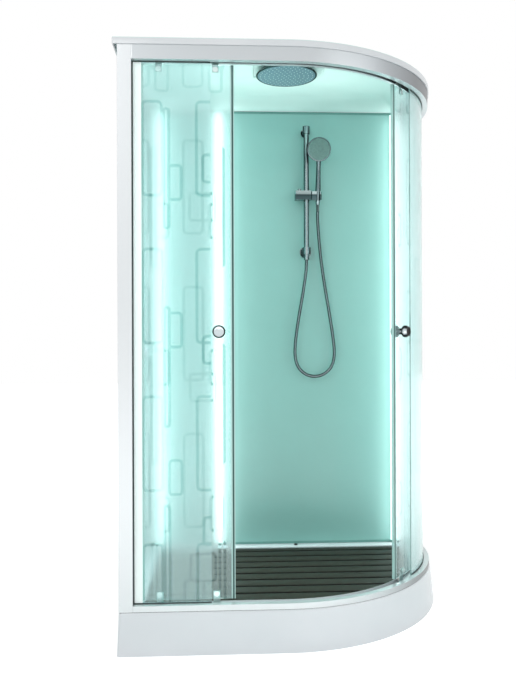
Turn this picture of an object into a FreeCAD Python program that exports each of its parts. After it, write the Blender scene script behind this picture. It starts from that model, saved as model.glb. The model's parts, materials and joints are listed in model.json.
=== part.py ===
"""Quadrant steam shower cabin: tray, glazed front with two rolling doors, rear walls and roof.

Millimetres, +Z up. The origin is on the floor under the middle of the cabin's box.
+X points to the right along the straight front and +Y from the front to the room's wall.
"""
import FreeCAD, Part
import math
import os
import re
import Sketcher
from FreeCAD import Placement, Rotation, Vector

doc = FreeCAD.newDocument("steam_shower_cabin")
sheet = doc.addObject("Spreadsheet::Sheet", "Sizes")

# Driving dimensions: name, value in millimetres or degrees, what it is.
DIMENSIONS = (
    ("cabin_width", 1290, "roof's left edge to the tray's right edge"),
    ("cabin_depth", 860, "front of the tray to the room's wall"),
    ("corner_radius", 680, "plan radius of the tray's front right corner"),
    ("tray_left", 12, "roof's left edge to the tray's left edge at the floor"),
    ("tray_height", 147, "floor to the tray's deck"),
    ("tray_flare", 14, "how far the skirt's front leans in from bottom to top"),
    ("side_flare", 4, "how far the skirt's left side leans in from bottom to top"),
    ("tray_round", 8, "radius of the deck's outer edge"),
    ("skirt_wall", 8, "thickness of the skirt"),
    ("deck_wall", 7, "thickness of the tray's deck and bowl"),
    ("deck_width", 95, "tray outline to the bowl's edge"),
    ("deck_back", 82, "room's wall to the bowl's edge"),
    ("bowl_floor", 78, "floor to the inside of the bowl"),
    ("drain_place", 170, "room's wall to the drain's axis"),
    ("drain_bore", 90, "diameter of the hole for the drain"),
    ("waste_height", 30, "floor to the waste pipe's axis"),
    ("waste_notch", 70, "width of the skirt's cut-out for the waste pipe"),
    ("rail_inset", 17, "tray outline to the rails' outer face"),
    ("rail_depth", 63, "rails' outer face to their inner face"),
    ("section_wall", 2, "wall of the aluminium sections"),
    ("low_rail_top", 168, "top of the bottom rail"),
    ("high_rail_low", 2075, "lower edge of the top rail"),
    ("frame_top", 2145, "top of the posts, the top rail and the wall panels"),
    ("post_width", 49, "visible face of the posts"),
    ("glass_wall", 5, "thickness of the safety glass"),
    ("fixed_inset", 41, "tray outline to the fixed panes' outer face"),
    ("door_inset", 57, "tray outline to the doors' outer face"),
    ("gasket_width", 3.5, "visible width of the panes' gaskets"),
    ("gasket_depth", 2.5, "depth of the gaskets on the panes"),
    ("pane_low", 151, "lower edge of the fixed panes"),
    ("pane_high", 2088, "upper edge of the fixed panes"),
    ("door_low", 176, "lower edge of the doors"),
    ("door_high", 2070, "upper edge of the doors"),
    ("fixed_left_end", 340, "roof's left edge to the left pane's free edge"),
    ("left_door_start", 95, "roof's left edge to the left door's trailing edge"),
    ("left_door_end", 420, "roof's left edge to the left door's leading edge"),
    ("right_pane_turn", 37.2, "angle of the right pane's curve"),
    ("right_door_lead", 47, "angle from the right door's leading edge to the curve's right end"),
    ("right_door_span", 46.4, "angle that the right door covers"),
    ("seal_width", 14, "width of the doors' leading seals"),
    ("knob_height", 1124, "floor to the door knobs' axis"),
    ("knob_setback", 52, "leading edge to the knobs' axis"),
    ("knob_size", 46, "diameter of the door knobs"),
    ("wheel_size", 22, "diameter of the door wheels"),
    ("wheel_width", 8, "width of the door wheels"),
    ("wheel_inset", 71, "tray outline to the middle of the wheels"),
    ("wheel_setback", 62, "door's edge to the wheels' axes"),
    ("wall_face", 35, "room's wall to the rear wall panel's face"),
    ("wall_thick", 6, "thickness of the wall panels"),
    ("left_face", 28, "roof's left edge to the left wall panel's inner face"),
    ("slot_depth", 10, "depth of the posts' slots for panes and panels"),
    ("channel_height", 10, "height of the channels along the wall panels"),
    ("corner_post", 30, "side of the rear corner post"),
    ("light_width", 45, "width of the light strips on the rear wall"),
    ("light_depth", 14, "depth of the light strips"),
    ("light_place", 66, "roof's left edge to the left light strip"),
    ("middle_place", 337, "roof's left edge to the middle light strip"),
    ("roof_inset", 13, "tray outline to the roof's edge"),
    ("roof_low", 2126, "lower edge of the roof's skirt"),
    ("roof_edge_top", 2150, "top of the roof's edge"),
    ("roof_wall", 4, "thickness of the roof moulding"),
    ("ceiling", 2190, "floor to the ceiling inside the dome"),
    ("dome_inset", 96, "tray outline to the foot of the dome"),
    ("dome_left", 50, "roof's left edge to the foot of the dome"),
    ("dome_slope", 95, "width of the dome's sloping sides"),
    ("rain_size", 250, "diameter of the rain head"),
    ("dish_size", 306, "diameter of the dish round the rain head"),
    ("dish_depth", 6, "depth of the dish"),
    ("rain_low", 2168, "floor to the rain head's face"),
    ("riser_place", 765, "roof's left edge to the riser bar's axis"),
    ("riser_gap", 50, "rear wall panel to the riser bar's axis"),
    ("riser_low", 1494, "floor to the water outlet's axis"),
    ("riser_high", 2046, "floor to the riser's upper fixing"),
    ("riser_bar_size", 24, "diameter of the riser bar"),
    ("slider_width", 47, "width of the slider round the bar"),
    ("slider_wing", 30, "length of the slider's wing with the clamp knob"),
    ("slider_height", 1748, "floor to the slider's axis"),
    ("slider_size", 41, "height of the slider"),
    ("holder_offset", 53, "riser bar's axis to the handset's axis"),
    ("handset_length", 206, "handset holder to the middle of the handset's head"),
    ("head_size", 108, "height of the handset's head"),
    ("handset_tilt", 10, "lean of the handset towards the door"),
    ("nut_length", 20, "length of the nut under the handset's cone"),
    ("sleeve_length", 30, "length of the bend sleeve under the nut"),
    ("hose_size", 14, "diameter of the shower hose"),
    ("mixer_reach", 52, "left wall panel to the mixer's axis"),
    ("mixer_height", 1050, "floor to the mixer's axis"),
    ("mixer_place", 430, "room's wall to the middle of the mixer"),
    ("slat_pitch", 75, "pitch of the duckboard's slats"),
    ("slat_gap", 13, "gap between two slats"),
    ("slat_thick", 20, "thickness of the slats"),
    ("slat_top", 140, "floor to the top of the slats"),
    ("first_gap", 129, "room's wall to the middle of the first gap"),
    ("batten_width", 35, "width of the battens under the slats"),
    ("board_gap", 6, "bowl's wall to the duckboard's edge"),
    ("pad_height", 4, "height of the duckboard's rubber pads"),
    ("foot_size", 45, "diameter of the feet"),
    ("frame_bar", 30, "side of the support frame's square tubes"),
    ("running_gap", 0.3, "clearance round a piece that lies in another"),
)
for row, (alias, value, meaning) in enumerate(DIMENSIONS, start=1):
    sheet.set("A%d" % row, alias)
    sheet.set("B%d" % row, str(value))
    sheet.set("C%d" % row, meaning)
    sheet.setAlias("B%d" % row, alias)
doc.recompute()

ALIASES = {alias for alias, value, meaning in DIMENSIONS}
NODES = []

# The sides of the cabin's plan and the centre of its curved corner.
LEFT = "(-cabin_width / 2)"
RIGHT = "(cabin_width / 2)"
FRONT = "(-cabin_depth / 2)"
BACK = "(cabin_depth / 2)"
ARC_X = "(cabin_width / 2 - corner_radius)"
ARC_Y = "(corner_radius - cabin_depth / 2)"

# Places that several pieces share: the frame under the bowl, the rails' slots and the water fittings.
FRONT_BAR = FRONT + " + 180"
REAR_BAR = FRONT + " + 540"
FEET = (("110", FRONT_BAR), ("560", FRONT_BAR), ("960", FRONT_BAR), ("110", REAR_BAR), ("645", REAR_BAR),
        ("1180", REAR_BAR))
SLOT_OUT = "fixed_inset - running_gap"
SLOT_IN = "fixed_inset + glass_wall + running_gap"
RAIL_BACK = "rail_inset + rail_depth"
TRACK_EDGE = "wheel_inset - wheel_width / 2 - 0.5"
STEAM_OUTLET = (LEFT + " + 714", BACK + " - 62")
RISER_X = LEFT + " + riser_place"
RISER_Y = BACK + " - wall_face - riser_gap"
MIXER_Y = BACK + " - mixer_place"
MIXER_LEGS = (("hot", " - 75"), ("cold", " + 75"))


def bound(text):
    """Put the sheet's name before each of its aliases in an expression."""
    return re.sub(r"[a-z_]+", lambda word: "Sizes." + word[0] if word[0] in ALIASES else word[0], str(text))


def number(text):
    """Value of an expression in the sheet's aliases."""
    return float(sheet.evalExpression(bound(text)))


def node(label, item):
    """Name a finished sub-part and list it for the export."""
    item.Label = label
    NODES.append(item)
    return item


def place(item, x="0", y="0", z="0", rotation=None):
    """Put an object at a point whose co-ordinates are expressions."""
    if rotation is not None:
        item.Placement = Placement(Vector(), rotation)
    for axis, text in zip("xyz", (x, y, z)):
        item.setExpression("Placement.Base." + axis, bound(text))
    return item


# ---- Part primitives -------------------------------------------------------------------------

def box(name, x, y, z, length, width, height):
    """Box with its lowest corner at x, y, z."""
    item = doc.addObject("Part::Box", name)
    for side, text in (("Length", length), ("Width", width), ("Height", height)):
        item.setExpression(side, bound(text))
    return place(item, x, y, z)


ALONG = {
    "x": Rotation(Vector(0, 1, 0), 90),
    "y": Rotation(Vector(1, 0, 0), -90),
    "z": Rotation(),
}


def rod(name, along, x, y, z, radius, length):
    """Cylinder that starts at x, y, z and runs along an axis."""
    item = doc.addObject("Part::Cylinder", name)
    item.setExpression("Radius", bound(radius))
    item.setExpression("Height", bound(length))
    return place(item, x, y, z, ALONG[along])


def cut(name, base, tools):
    """Base without the tools."""
    tool = tools[0] if len(tools) == 1 else fuse(name + "_tools", tools)
    item = doc.addObject("Part::Cut", name)
    item.Base = base
    item.Tool = tool
    return item


def fuse(name, shapes):
    """Union of shapes, or a group where they don't touch."""
    item = doc.addObject("Part::MultiFuse", name)
    item.Shapes = shapes
    return item


def common(name, base, tool):
    """What two shapes share."""
    item = doc.addObject("Part::Common", name)
    item.Base = base
    item.Tool = tool
    return item


# ---- Sketches and bodies ---------------------------------------------------------------------

def body(label):
    """New body for one sub-part."""
    return doc.addObject("PartDesign::Body", label)


def sketch_on(owner, role, name, offset="0"):
    """Sketch on one of the body's origin planes, moved along its normal."""
    sketch = owner.newObject("Sketcher::SketchObject", name)
    plane = next(feature for feature in owner.Origin.OriginFeatures if feature.Role == role)
    sketch.AttachmentSupport = (plane, [""])
    sketch.MapMode = "FlatFace"
    sketch.setExpression("AttachmentOffset.Base.z", bound(offset))
    return sketch


def measure(sketch, kind, *where):
    """Constraint whose value is the expression that ends its arguments."""
    index = sketch.addConstraint(Sketcher.Constraint(kind, *where[:-1], number(where[-1])))
    sketch.setExpression("Constraints[%d]" % index, bound(where[-1]))


def polygon(sketch, points):
    """Closed outline with straight sides through points given as expressions."""
    corners = [Vector(number(x), number(y), 0) for x, y in points]
    first = len(sketch.Geometry)
    count = len(corners)
    for index in range(count):
        sketch.addGeometry(Part.LineSegment(corners[index], corners[(index + 1) % count]))
    for index in range(count):
        following = first + (index + 1) % count
        sketch.addConstraint(Sketcher.Constraint("Coincident", first + index, 2, following, 1))
    for index, (x, y) in enumerate(points):
        measure(sketch, "DistanceX", -1, 1, first + index, 1, x)
        measure(sketch, "DistanceY", -1, 1, first + index, 1, y)
    return sketch


def circle(sketch, x, y, radius):
    """Circle about a point."""
    index = sketch.addGeometry(Part.Circle(Vector(number(x), number(y), 0), Vector(0, 0, 1), number(radius)))
    measure(sketch, "DistanceX", -1, 1, index, 3, x)
    measure(sketch, "DistanceY", -1, 1, index, 3, y)
    measure(sketch, "Radius", index, radius)
    return sketch


def outline(sketch, inset, left, back):
    """Plan of the cabin, set in from the tray: front, quarter circle, right side, back and left."""
    radius = number("corner_radius - (%s)" % inset)
    centre = Vector(number(ARC_X), number(ARC_Y), 0)
    west, north = number(left), number(back)
    south, east = centre.y - radius, centre.x + radius
    first = len(sketch.Geometry)
    turn = Part.Circle(centre, Vector(0, 0, 1), radius)
    sketch.addGeometry(Part.LineSegment(Vector(west, south, 0), Vector(centre.x, south, 0)))
    sketch.addGeometry(Part.ArcOfCircle(turn, -math.pi / 2, 0))
    sketch.addGeometry(Part.LineSegment(Vector(east, centre.y, 0), Vector(east, north, 0)))
    sketch.addGeometry(Part.LineSegment(Vector(east, north, 0), Vector(west, north, 0)))
    sketch.addGeometry(Part.LineSegment(Vector(west, north, 0), Vector(west, south, 0)))
    front, arc, right, rear, side = range(first, first + 5)
    for kind, *ends in (
        ("Tangent", front, 2, arc, 1), ("Tangent", arc, 2, right, 1), ("Coincident", right, 2, rear, 1),
        ("Coincident", rear, 2, side, 1), ("Coincident", side, 2, front, 1),
        ("Horizontal", front), ("Vertical", right), ("Horizontal", rear), ("Vertical", side),
    ):
        sketch.addConstraint(Sketcher.Constraint(kind, *ends))
    measure(sketch, "DistanceX", -1, 1, arc, 3, ARC_X)
    measure(sketch, "DistanceY", -1, 1, arc, 3, ARC_Y)
    measure(sketch, "Radius", arc, "corner_radius - (%s)" % inset)
    measure(sketch, "DistanceX", -1, 1, side, 2, left)
    measure(sketch, "DistanceY", -1, 1, rear, 1, back)
    return sketch


def pad(owner, sketch, length, name="Pad"):
    """Grow the sketch along its normal."""
    feature = owner.newObject("PartDesign::Pad", name)
    feature.Profile = sketch
    feature.setExpression("Length", bound(length))
    return feature


def pocket(owner, sketch, length, name="Pocket", reverse=False):
    """Cut the sketch against its normal, or along it."""
    feature = owner.newObject("PartDesign::Pocket", name)
    feature.Profile = sketch
    feature.Reversed = reverse
    feature.setExpression("Length", bound(length))
    return feature


def loft(owner, kind, sketches, name):
    """Straight-sided loft between sketches, added or cut."""
    feature = owner.newObject("PartDesign::" + kind, name)
    feature.Profile = sketches[0]
    feature.Sections = sketches[1:]
    feature.Ruled = True
    return feature


def turned(label, points, angle="360"):
    """Body turned about its own Z axis from a profile of radius and height."""
    owner = body(label)
    sketch = polygon(sketch_on(owner, "XZ_Plane", label + "_profile"), points)
    feature = owner.newObject("PartDesign::Revolution", label + "_turned")
    feature.Profile = sketch
    feature.ReferenceAxis = (sketch, ["V_Axis"])
    feature.setExpression("Angle", bound(angle))
    return owner


def prism(label, points, low, high, holes=()):
    """Body of one upright section between two heights, with hollows right through."""
    owner = body(label)
    sketch = polygon(sketch_on(owner, "XY_Plane", label + "_section", low), points)
    for hole in holes:
        polygon(sketch, hole)
    pad(owner, sketch, "(%s) - (%s)" % (high, low), label + "_length")
    return owner


# ---- Tray, support frame, drain and duckboard --------------------------------------------------

def make_tray():
    """Shower tray: flared skirt, deck and bowl in one moulding, open underneath and notched for the waste."""
    tray = body("tray_moulding")
    side = LEFT + " + tray_left"
    sections = []
    for name, height, lean, side_lean in (
        ("skirt_low", "0", "0", "0"),
        ("skirt_high", "tray_height - tray_round", "tray_flare", "side_flare"),
        ("round_middle", "tray_height - tray_round / 4", "tray_flare + tray_round / 4", "side_flare + tray_round / 4"),
        ("deck_edge", "tray_height", "tray_flare + tray_round", "side_flare + tray_round"),
    ):
        sections.append(outline(sketch_on(tray, "XY_Plane", name, height), lean, side + " + " + side_lean, BACK))
    loft(tray, "AdditiveLoft", sections, "Skirt")
    inner_low = outline(sketch_on(tray, "XY_Plane", "inner_low"), "skirt_wall",
                        side + " + skirt_wall", BACK + " - skirt_wall")
    inner_high = outline(sketch_on(tray, "XY_Plane", "inner_high", "tray_height - deck_wall"),
                         "skirt_wall + tray_flare", side + " + skirt_wall + side_flare", BACK + " - skirt_wall")
    loft(tray, "SubtractiveLoft", [inner_low, inner_high], "Underside")
    block = outline(sketch_on(tray, "XY_Plane", "bowl_outside", "bowl_floor - deck_wall"),
                    "deck_width - deck_wall", LEFT + " + deck_width - deck_wall",
                    BACK + " - deck_back + deck_wall")
    pad(tray, block, "tray_height - bowl_floor", "BowlWall")
    bowl = outline(sketch_on(tray, "XY_Plane", "bowl_inside", "tray_height"),
                   "deck_width", LEFT + " + deck_width", BACK + " - deck_back")
    pocket(tray, bowl, "tray_height - bowl_floor", "Bowl")
    hole = circle(sketch_on(tray, "XY_Plane", "drain_place", "bowl_floor"),
                  "0", BACK + " - drain_place", "drain_bore / 2")
    pocket(tray, hole, "deck_wall", "DrainHole")
    tail = circle(sketch_on(tray, "XY_Plane", "steam_place", "tray_height"), *STEAM_OUTLET, "5.3")
    pocket(tray, tail, "deck_wall", "SteamHole")
    notch = box("waste_notch_box", "-waste_notch / 2", BACK + " - skirt_wall - 1", "-1", "waste_notch",
                "skirt_wall + 2", "waste_height + waste_notch / 2 + 1")
    node("tray_basin", cut("tray_basin", tray, [notch]))


def square_tube(name, along, x, y, length):
    """Square tube of the support frame, lying under the bowl."""
    z = "bowl_floor - deck_wall - frame_bar"
    wall = "section_wall"
    if along == "x":
        outer = box(name + "_outer", x, y, z, length, "frame_bar", "frame_bar")
        inner = box(name + "_inner", x, y + " + " + wall, z + " + " + wall, length,
                    "frame_bar - 2 * section_wall", "frame_bar - 2 * section_wall")
    else:
        outer = box(name + "_outer", x, y, z, "frame_bar", length, "frame_bar")
        inner = box(name + "_inner", x + " + " + wall, y, z + " + " + wall,
                    "frame_bar - 2 * section_wall", length, "frame_bar - 2 * section_wall")
    return cut(name, outer, [inner])


def make_support():
    """Welded frame under the bowl and the adjustable feet that carry it."""
    bars = [
        square_tube("front_bar", "x", LEFT + " + 95", FRONT_BAR, "900"),
        square_tube("rear_bar", "x", LEFT + " + 95", REAR_BAR, "1130"),
        square_tube("left_bar", "y", LEFT + " + 200", FRONT_BAR + " + frame_bar", "330"),
        square_tube("right_bar", "y", LEFT + " + 880", FRONT_BAR + " + frame_bar", "330"),
    ]
    node("tray_frame", fuse("tray_frame", bars))
    feet = []
    for index, (x, y) in enumerate(FEET):
        name = "foot%d_" % index
        x, y = LEFT + " + " + x, y + " + frame_bar / 2"
        top = "(bowl_floor - deck_wall - frame_bar)"
        nut = doc.addObject("Part::Prism", name + "nut")
        nut.Polygon = 6
        nut.Circumradius = 11
        nut.Height = 10
        place(nut, x, y, top + " - 10")
        feet += [
            rod(name + "pad", "z", x, y, "0", "foot_size / 2", "6"),
            rod(name + "screw", "z", x, y, "6", "6", top + " - 6"),
            nut,
        ]
    node("levelling_feet", fuse("levelling_feet", feet))


def make_drain():
    """Low trap under the bowl with its outlet to the rear, and the domed cover over it."""
    y = BACK + " - drain_place"
    cup = rod("trap_cup", "z", "0", y, "8", "drain_bore / 2 - 4", "bowl_floor - 8")
    flange = rod("trap_flange", "z", "0", y, "bowl_floor", "drain_bore / 2 + 10", "2")
    spout = rod("trap_spout", "y", "0", y, "waste_height", "20", "120")
    collar = rod("trap_collar", "y", "0", y, "waste_height", "24", "52")
    bore = rod("trap_bore", "z", "0", y, "11", "drain_bore / 2 - 7", "bowl_floor")
    way = rod("trap_way", "y", "0", y, "waste_height", "17.5", "121")
    node("drain_trap", cut("drain_trap", fuse("trap_body", [cup, flange, spout, collar]), [bore, way]))
    cover = turned("drain_cover", (
        ("0", "0"), ("drain_bore / 2 + 8", "0"), ("drain_bore / 2 + 8", "2"), ("drain_bore / 2", "5"),
        ("drain_bore / 4", "8"), ("0", "9")))
    node("drain_cover", place(cover, "0", y, "bowl_floor + 2"))
    cap = rod("steam_cap", "z", *STEAM_OUTLET, "tray_height", "7", "5")
    neck = rod("steam_neck", "z", *STEAM_OUTLET, "tray_height - deck_wall - 1", "4.6", "deck_wall + 1")
    tail = rod("steam_tail", "z", *STEAM_OUTLET, "tray_height - 40", "5", "39 - deck_wall")
    node("steam_outlet", fuse("steam_outlet", [cap, neck, tail]))


def make_duckboard():
    """Slatted board in the bowl: slats, the battens under them and rubber pads."""
    plan = body("board_plan")
    inset = "deck_width + board_gap"
    sketch = outline(sketch_on(plan, "XY_Plane", "board_outline", "bowl_floor"), inset,
                     LEFT + " + deck_width + board_gap", BACK + " - deck_back - board_gap")
    pad(plan, sketch, "tray_height - bowl_floor")
    slats = []
    rows = int(number("cabin_depth / slat_pitch"))
    for index in range(rows):
        y = BACK + " - first_gap - %d * slat_pitch + slat_gap / 2" % index
        slats.append(box("slat%d" % index, LEFT, y, "slat_top - slat_thick", "cabin_width",
                         "slat_pitch - slat_gap", "slat_thick"))
    node("duckboard_slats", common("duckboard_slats", fuse("slat_rows", slats), plan))
    battens = []
    pads = []
    for index, x in enumerate(("150", "450", "800", "1080")):
        start = LEFT + " + " + x
        low = "bowl_floor + pad_height"
        battens.append(box("batten%d" % index, start, FRONT, low, "batten_width", "cabin_depth",
                           "slat_top - slat_thick - bowl_floor - pad_height"))
        rows = ("440", "720") if x == "1080" else ("165" if x == "800" else "130", "430", "720")
        for y in rows:
            pads.append(rod("pad%s_%s" % (x, y), "z", start + " + batten_width / 2", FRONT + " + " + y,
                            "bowl_floor", "13", "pad_height"))
    node("duckboard_battens", common("duckboard_battens", fuse("batten_rows", battens), plan))
    node("duckboard_pads", fuse("duckboard_pads", pads))


# ---- Aluminium frame and wall panels -----------------------------------------------------------

def plan_x(inset):
    """X of a point set in from the tray's right side."""
    return "%s - (%s)" % (RIGHT, inset)


def plan_y(inset):
    """Y of a point set in from the tray's front."""
    return "%s + (%s)" % (FRONT, inset)


def rail(label, points, hollow):
    """Rail along the front, the curve and the right side; points are inset and height."""
    owner = body(label)
    start = LEFT + " + rail_inset + post_width"
    end = BACK + " - post_width"
    path = sketch_on(owner, "XY_Plane", label + "_path")
    radius = number("corner_radius - rail_inset")
    centre = Vector(number(ARC_X), number(ARC_Y), 0)
    south, east = centre.y - radius, centre.x + radius
    path.addGeometry(Part.LineSegment(Vector(number(start), south, 0), Vector(centre.x, south, 0)))
    path.addGeometry(Part.ArcOfCircle(Part.Circle(centre, Vector(0, 0, 1), radius), -math.pi / 2, 0))
    path.addGeometry(Part.LineSegment(Vector(east, centre.y, 0), Vector(east, number(end), 0)))
    for kind, *ends in (("Tangent", 0, 2, 1, 1), ("Tangent", 1, 2, 2, 1), ("Horizontal", 0), ("Vertical", 2)):
        path.addConstraint(Sketcher.Constraint(kind, *ends))
    measure(path, "DistanceX", -1, 1, 1, 3, ARC_X)
    measure(path, "DistanceY", -1, 1, 1, 3, ARC_Y)
    measure(path, "Radius", 1, "corner_radius - rail_inset")
    measure(path, "DistanceX", -1, 1, 0, 1, start)
    measure(path, "DistanceY", -1, 1, 2, 2, end)
    section = sketch_on(owner, "YZ_Plane", label + "_section", start)
    polygon(section, [(plan_y(inset), height) for inset, height in points])
    polygon(section, [(plan_y(inset), height) for inset, height in hollow])
    pipe = owner.newObject("PartDesign::AdditivePipe", label + "_length")
    pipe.Profile = section
    pipe.Spine = (path, ["Edge1", "Edge2", "Edge3"])
    node(label, owner)


def make_rails():
    """Bottom and top rail: a closed front chamber, the fixed panes' slot and the wheels' channel."""
    floor = "tray_height + section_wall"
    wall = "section_wall"
    rail("bottom_rail", (
        ("rail_inset", "tray_height"), (RAIL_BACK, "tray_height"), (RAIL_BACK, "tray_height + 13"),
        (RAIL_BACK + " - " + wall, "tray_height + 13"), (RAIL_BACK + " - " + wall, floor),
        (SLOT_IN + " + " + wall, floor), (SLOT_IN + " + " + wall, "tray_height + 13"),
        (SLOT_IN, "tray_height + 13"), (SLOT_IN, floor + " + 2"), (SLOT_OUT, floor + " + 2"),
        (SLOT_OUT, "low_rail_top"), ("rail_inset", "low_rail_top"),
    ), (
        ("rail_inset + " + wall, floor), (SLOT_OUT + " - " + wall, floor),
        (SLOT_OUT + " - " + wall, "low_rail_top - " + wall), ("rail_inset + " + wall, "low_rail_top - " + wall),
    ))
    lip = "high_rail_low + 7"
    roof = "frame_top - " + wall
    rail("top_rail", (
        ("rail_inset", "high_rail_low"), (SLOT_OUT, "high_rail_low"), (SLOT_OUT, "high_rail_low + 15"),
        (SLOT_IN, "high_rail_low + 15"), (SLOT_IN, lip), (SLOT_IN + " + " + wall, lip),
        (SLOT_IN + " + " + wall, roof), (RAIL_BACK + " - " + wall, roof), (RAIL_BACK + " - " + wall, lip),
        (TRACK_EDGE, lip), (TRACK_EDGE, lip + " - " + wall), (RAIL_BACK, lip + " - " + wall),
        (RAIL_BACK, "frame_top"), ("rail_inset", "frame_top"),
    ), (
        ("rail_inset + " + wall, "high_rail_low + " + wall), (SLOT_OUT + " - " + wall, "high_rail_low + " + wall),
        (SLOT_OUT + " - " + wall, "high_rail_low + 15 + " + wall), (SLOT_IN, "high_rail_low + 15 + " + wall),
        (SLOT_IN, roof), ("rail_inset + " + wall, roof),
    ))


def make_posts():
    """Front left post, rear right post and the post in the rear left corner."""
    west = LEFT + " + rail_inset"
    east = west + " + post_width"
    south = plan_y("rail_inset")
    north = plan_y(RAIL_BACK)
    panel_low = LEFT + " + left_face - wall_thick - running_gap"
    panel_high = LEFT + " + left_face + running_gap"
    depth = "slot_depth"
    wall = "section_wall"
    node("left_post", prism("left_post", (
        (west, south), (east, south), (east, plan_y(SLOT_OUT)), (east + " - " + depth, plan_y(SLOT_OUT)),
        (east + " - " + depth, plan_y(SLOT_IN)), (east, plan_y(SLOT_IN)), (east, north),
        (panel_high, north), (panel_high, north + " - " + depth), (panel_low, north + " - " + depth),
        (panel_low, north), (west, north),
    ), "tray_height", "frame_top", [(
        (west + " + " + wall, south + " + " + wall), (east + " - 12", south + " + " + wall),
        (east + " - 12", north + " - 12"), (west + " + " + wall, north + " - 12"),
    )]))
    west = plan_x(RAIL_BACK)
    east = plan_x("rail_inset")
    south = BACK + " - post_width"
    wall_low = BACK + " - wall_face - running_gap"
    wall_high = BACK + " - wall_face + wall_thick + running_gap"
    node("rear_right_post", prism("rear_right_post", (
        (west, south), (plan_x(SLOT_IN), south), (plan_x(SLOT_IN), south + " + " + depth),
        (plan_x(SLOT_OUT), south + " + " + depth), (plan_x(SLOT_OUT), south), (east, south),
        (east, BACK), (west, BACK), (west, wall_high), (west + " + " + depth, wall_high),
        (west + " + " + depth, wall_low), (west, wall_low),
    ), "tray_height", "frame_top", [(
        (west + " + 12", south + " + 12"), (east + " - " + wall, south + " + 12"),
        (east + " - " + wall, BACK + " - " + wall), (west + " + 12", BACK + " - " + wall),
    )]))
    west = LEFT + " + left_face - wall_thick - 8"
    east = west + " + corner_post"
    south = BACK + " - wall_face - 8"
    north = south + " + corner_post"
    node("rear_corner_post", prism("rear_corner_post", (
        (west, south), (panel_low, south), (panel_low, south + " + 8"), (panel_high, south + " + 8"),
        (panel_high, south), (east, south), (east, wall_low), (east + " - 8", wall_low),
        (east + " - 8", wall_high), (east, wall_high), (east, north), (west, north),
    ), "tray_height", "frame_top"))


def make_walls():
    """Left and rear wall panels, the channels that hold them and the light strips."""
    low = "tray_height + channel_height - 7"
    high = "frame_top - 4"
    rear_start = LEFT + " + left_face - wall_thick - 8 + corner_post"
    rear_end = plan_x(RAIL_BACK)
    gap = "running_gap"
    rear = box("rear_panel", rear_start + " - 7.7", BACK + " - wall_face", low,
               "(%s) - (%s) + 17" % (rear_end, rear_start), "wall_thick", "(%s) - (%s)" % (high, low))
    outlet = rod("outlet_hole", "y", RISER_X, BACK + " - wall_face - 1", "riser_low", "10.8", "wall_thick + 2")
    node("rear_wall_panel", cut("rear_wall_panel", rear, [outlet]))
    side_start = plan_y(RAIL_BACK)
    side_end = BACK + " - wall_face - 8"
    side = box("side_panel", LEFT + " + left_face - wall_thick", side_start + " - 9.7", low,
               "wall_thick", "(%s) - (%s) + 17.4" % (side_end, side_start), "(%s) - (%s)" % (high, low))
    inlets = [rod("inlet_hole_%s" % name, "x", LEFT + " + left_face - wall_thick - 1", MIXER_Y + offset,
                  "mixer_height", "10.8", "wall_thick + 2") for name, offset in MIXER_LEGS]
    node("left_wall_panel", cut("left_wall_panel", side, inlets))
    channels = []
    for name, base, groove in (
        ("low", "tray_height", low), ("high", "frame_top - channel_height", "frame_top - channel_height"),
    ):
        depth = "channel_height - 3"
        outer = box(name + "_rear_channel", rear_start, BACK + " - wall_face - 3", base,
                    "(%s) - (%s)" % (rear_end, rear_start), "wall_thick + 6", "channel_height")
        inner = box(name + "_rear_groove", rear_start, BACK + " - wall_face - " + gap, groove,
                    "(%s) - (%s)" % (rear_end, rear_start), "wall_thick + 2 * " + gap, depth)
        channels.append(cut(name + "_rear", outer, [inner]))
        outer = box(name + "_side_channel", LEFT + " + left_face - wall_thick - 3", side_start, base,
                    "wall_thick + 6", "(%s) - (%s)" % (side_end, side_start), "channel_height")
        inner = box(name + "_side_groove", LEFT + " + left_face - wall_thick - " + gap, side_start, groove,
                    "wall_thick + 2 * " + gap, "(%s) - (%s)" % (side_end, side_start), depth)
        channels.append(cut(name + "_side", outer, [inner]))
    node("wall_channels", fuse("wall_channels", channels))
    covers = []
    strips = []
    bottom = "tray_height + channel_height"
    top = "frame_top - channel_height"
    face = BACK + " - wall_face"
    for label, start in (
        ("left_light_cover", LEFT + " + light_place"),
        ("middle_light_cover", LEFT + " + middle_place"),
        ("right_light_cover", rear_end + " - light_width - 5"),
    ):
        end = start + " + light_width"
        covers.append(prism(label, (
            (start, face), (start + " + 6", face + " - light_depth"), (end + " - 6", face + " - light_depth"),
            (end, face), (end + " - 3", face), (end + " - 7.6", face + " - light_depth + 2.5"),
            (start + " + 7.6", face + " - light_depth + 2.5"), (start + " + 3", face),
        ), bottom, top))
        strips.append(box(label + "_strip", start + " + light_width / 2 - 6", face + " - 2", bottom + " + 10",
                          "12", "2", "(%s) - (%s) - 20" % (top, bottom)))
    node("light_covers", fuse("light_covers", covers))
    node("light_strips", fuse("light_strips", strips))


# ---- Roof and rain head ----------------------------------------------------------------------

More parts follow.
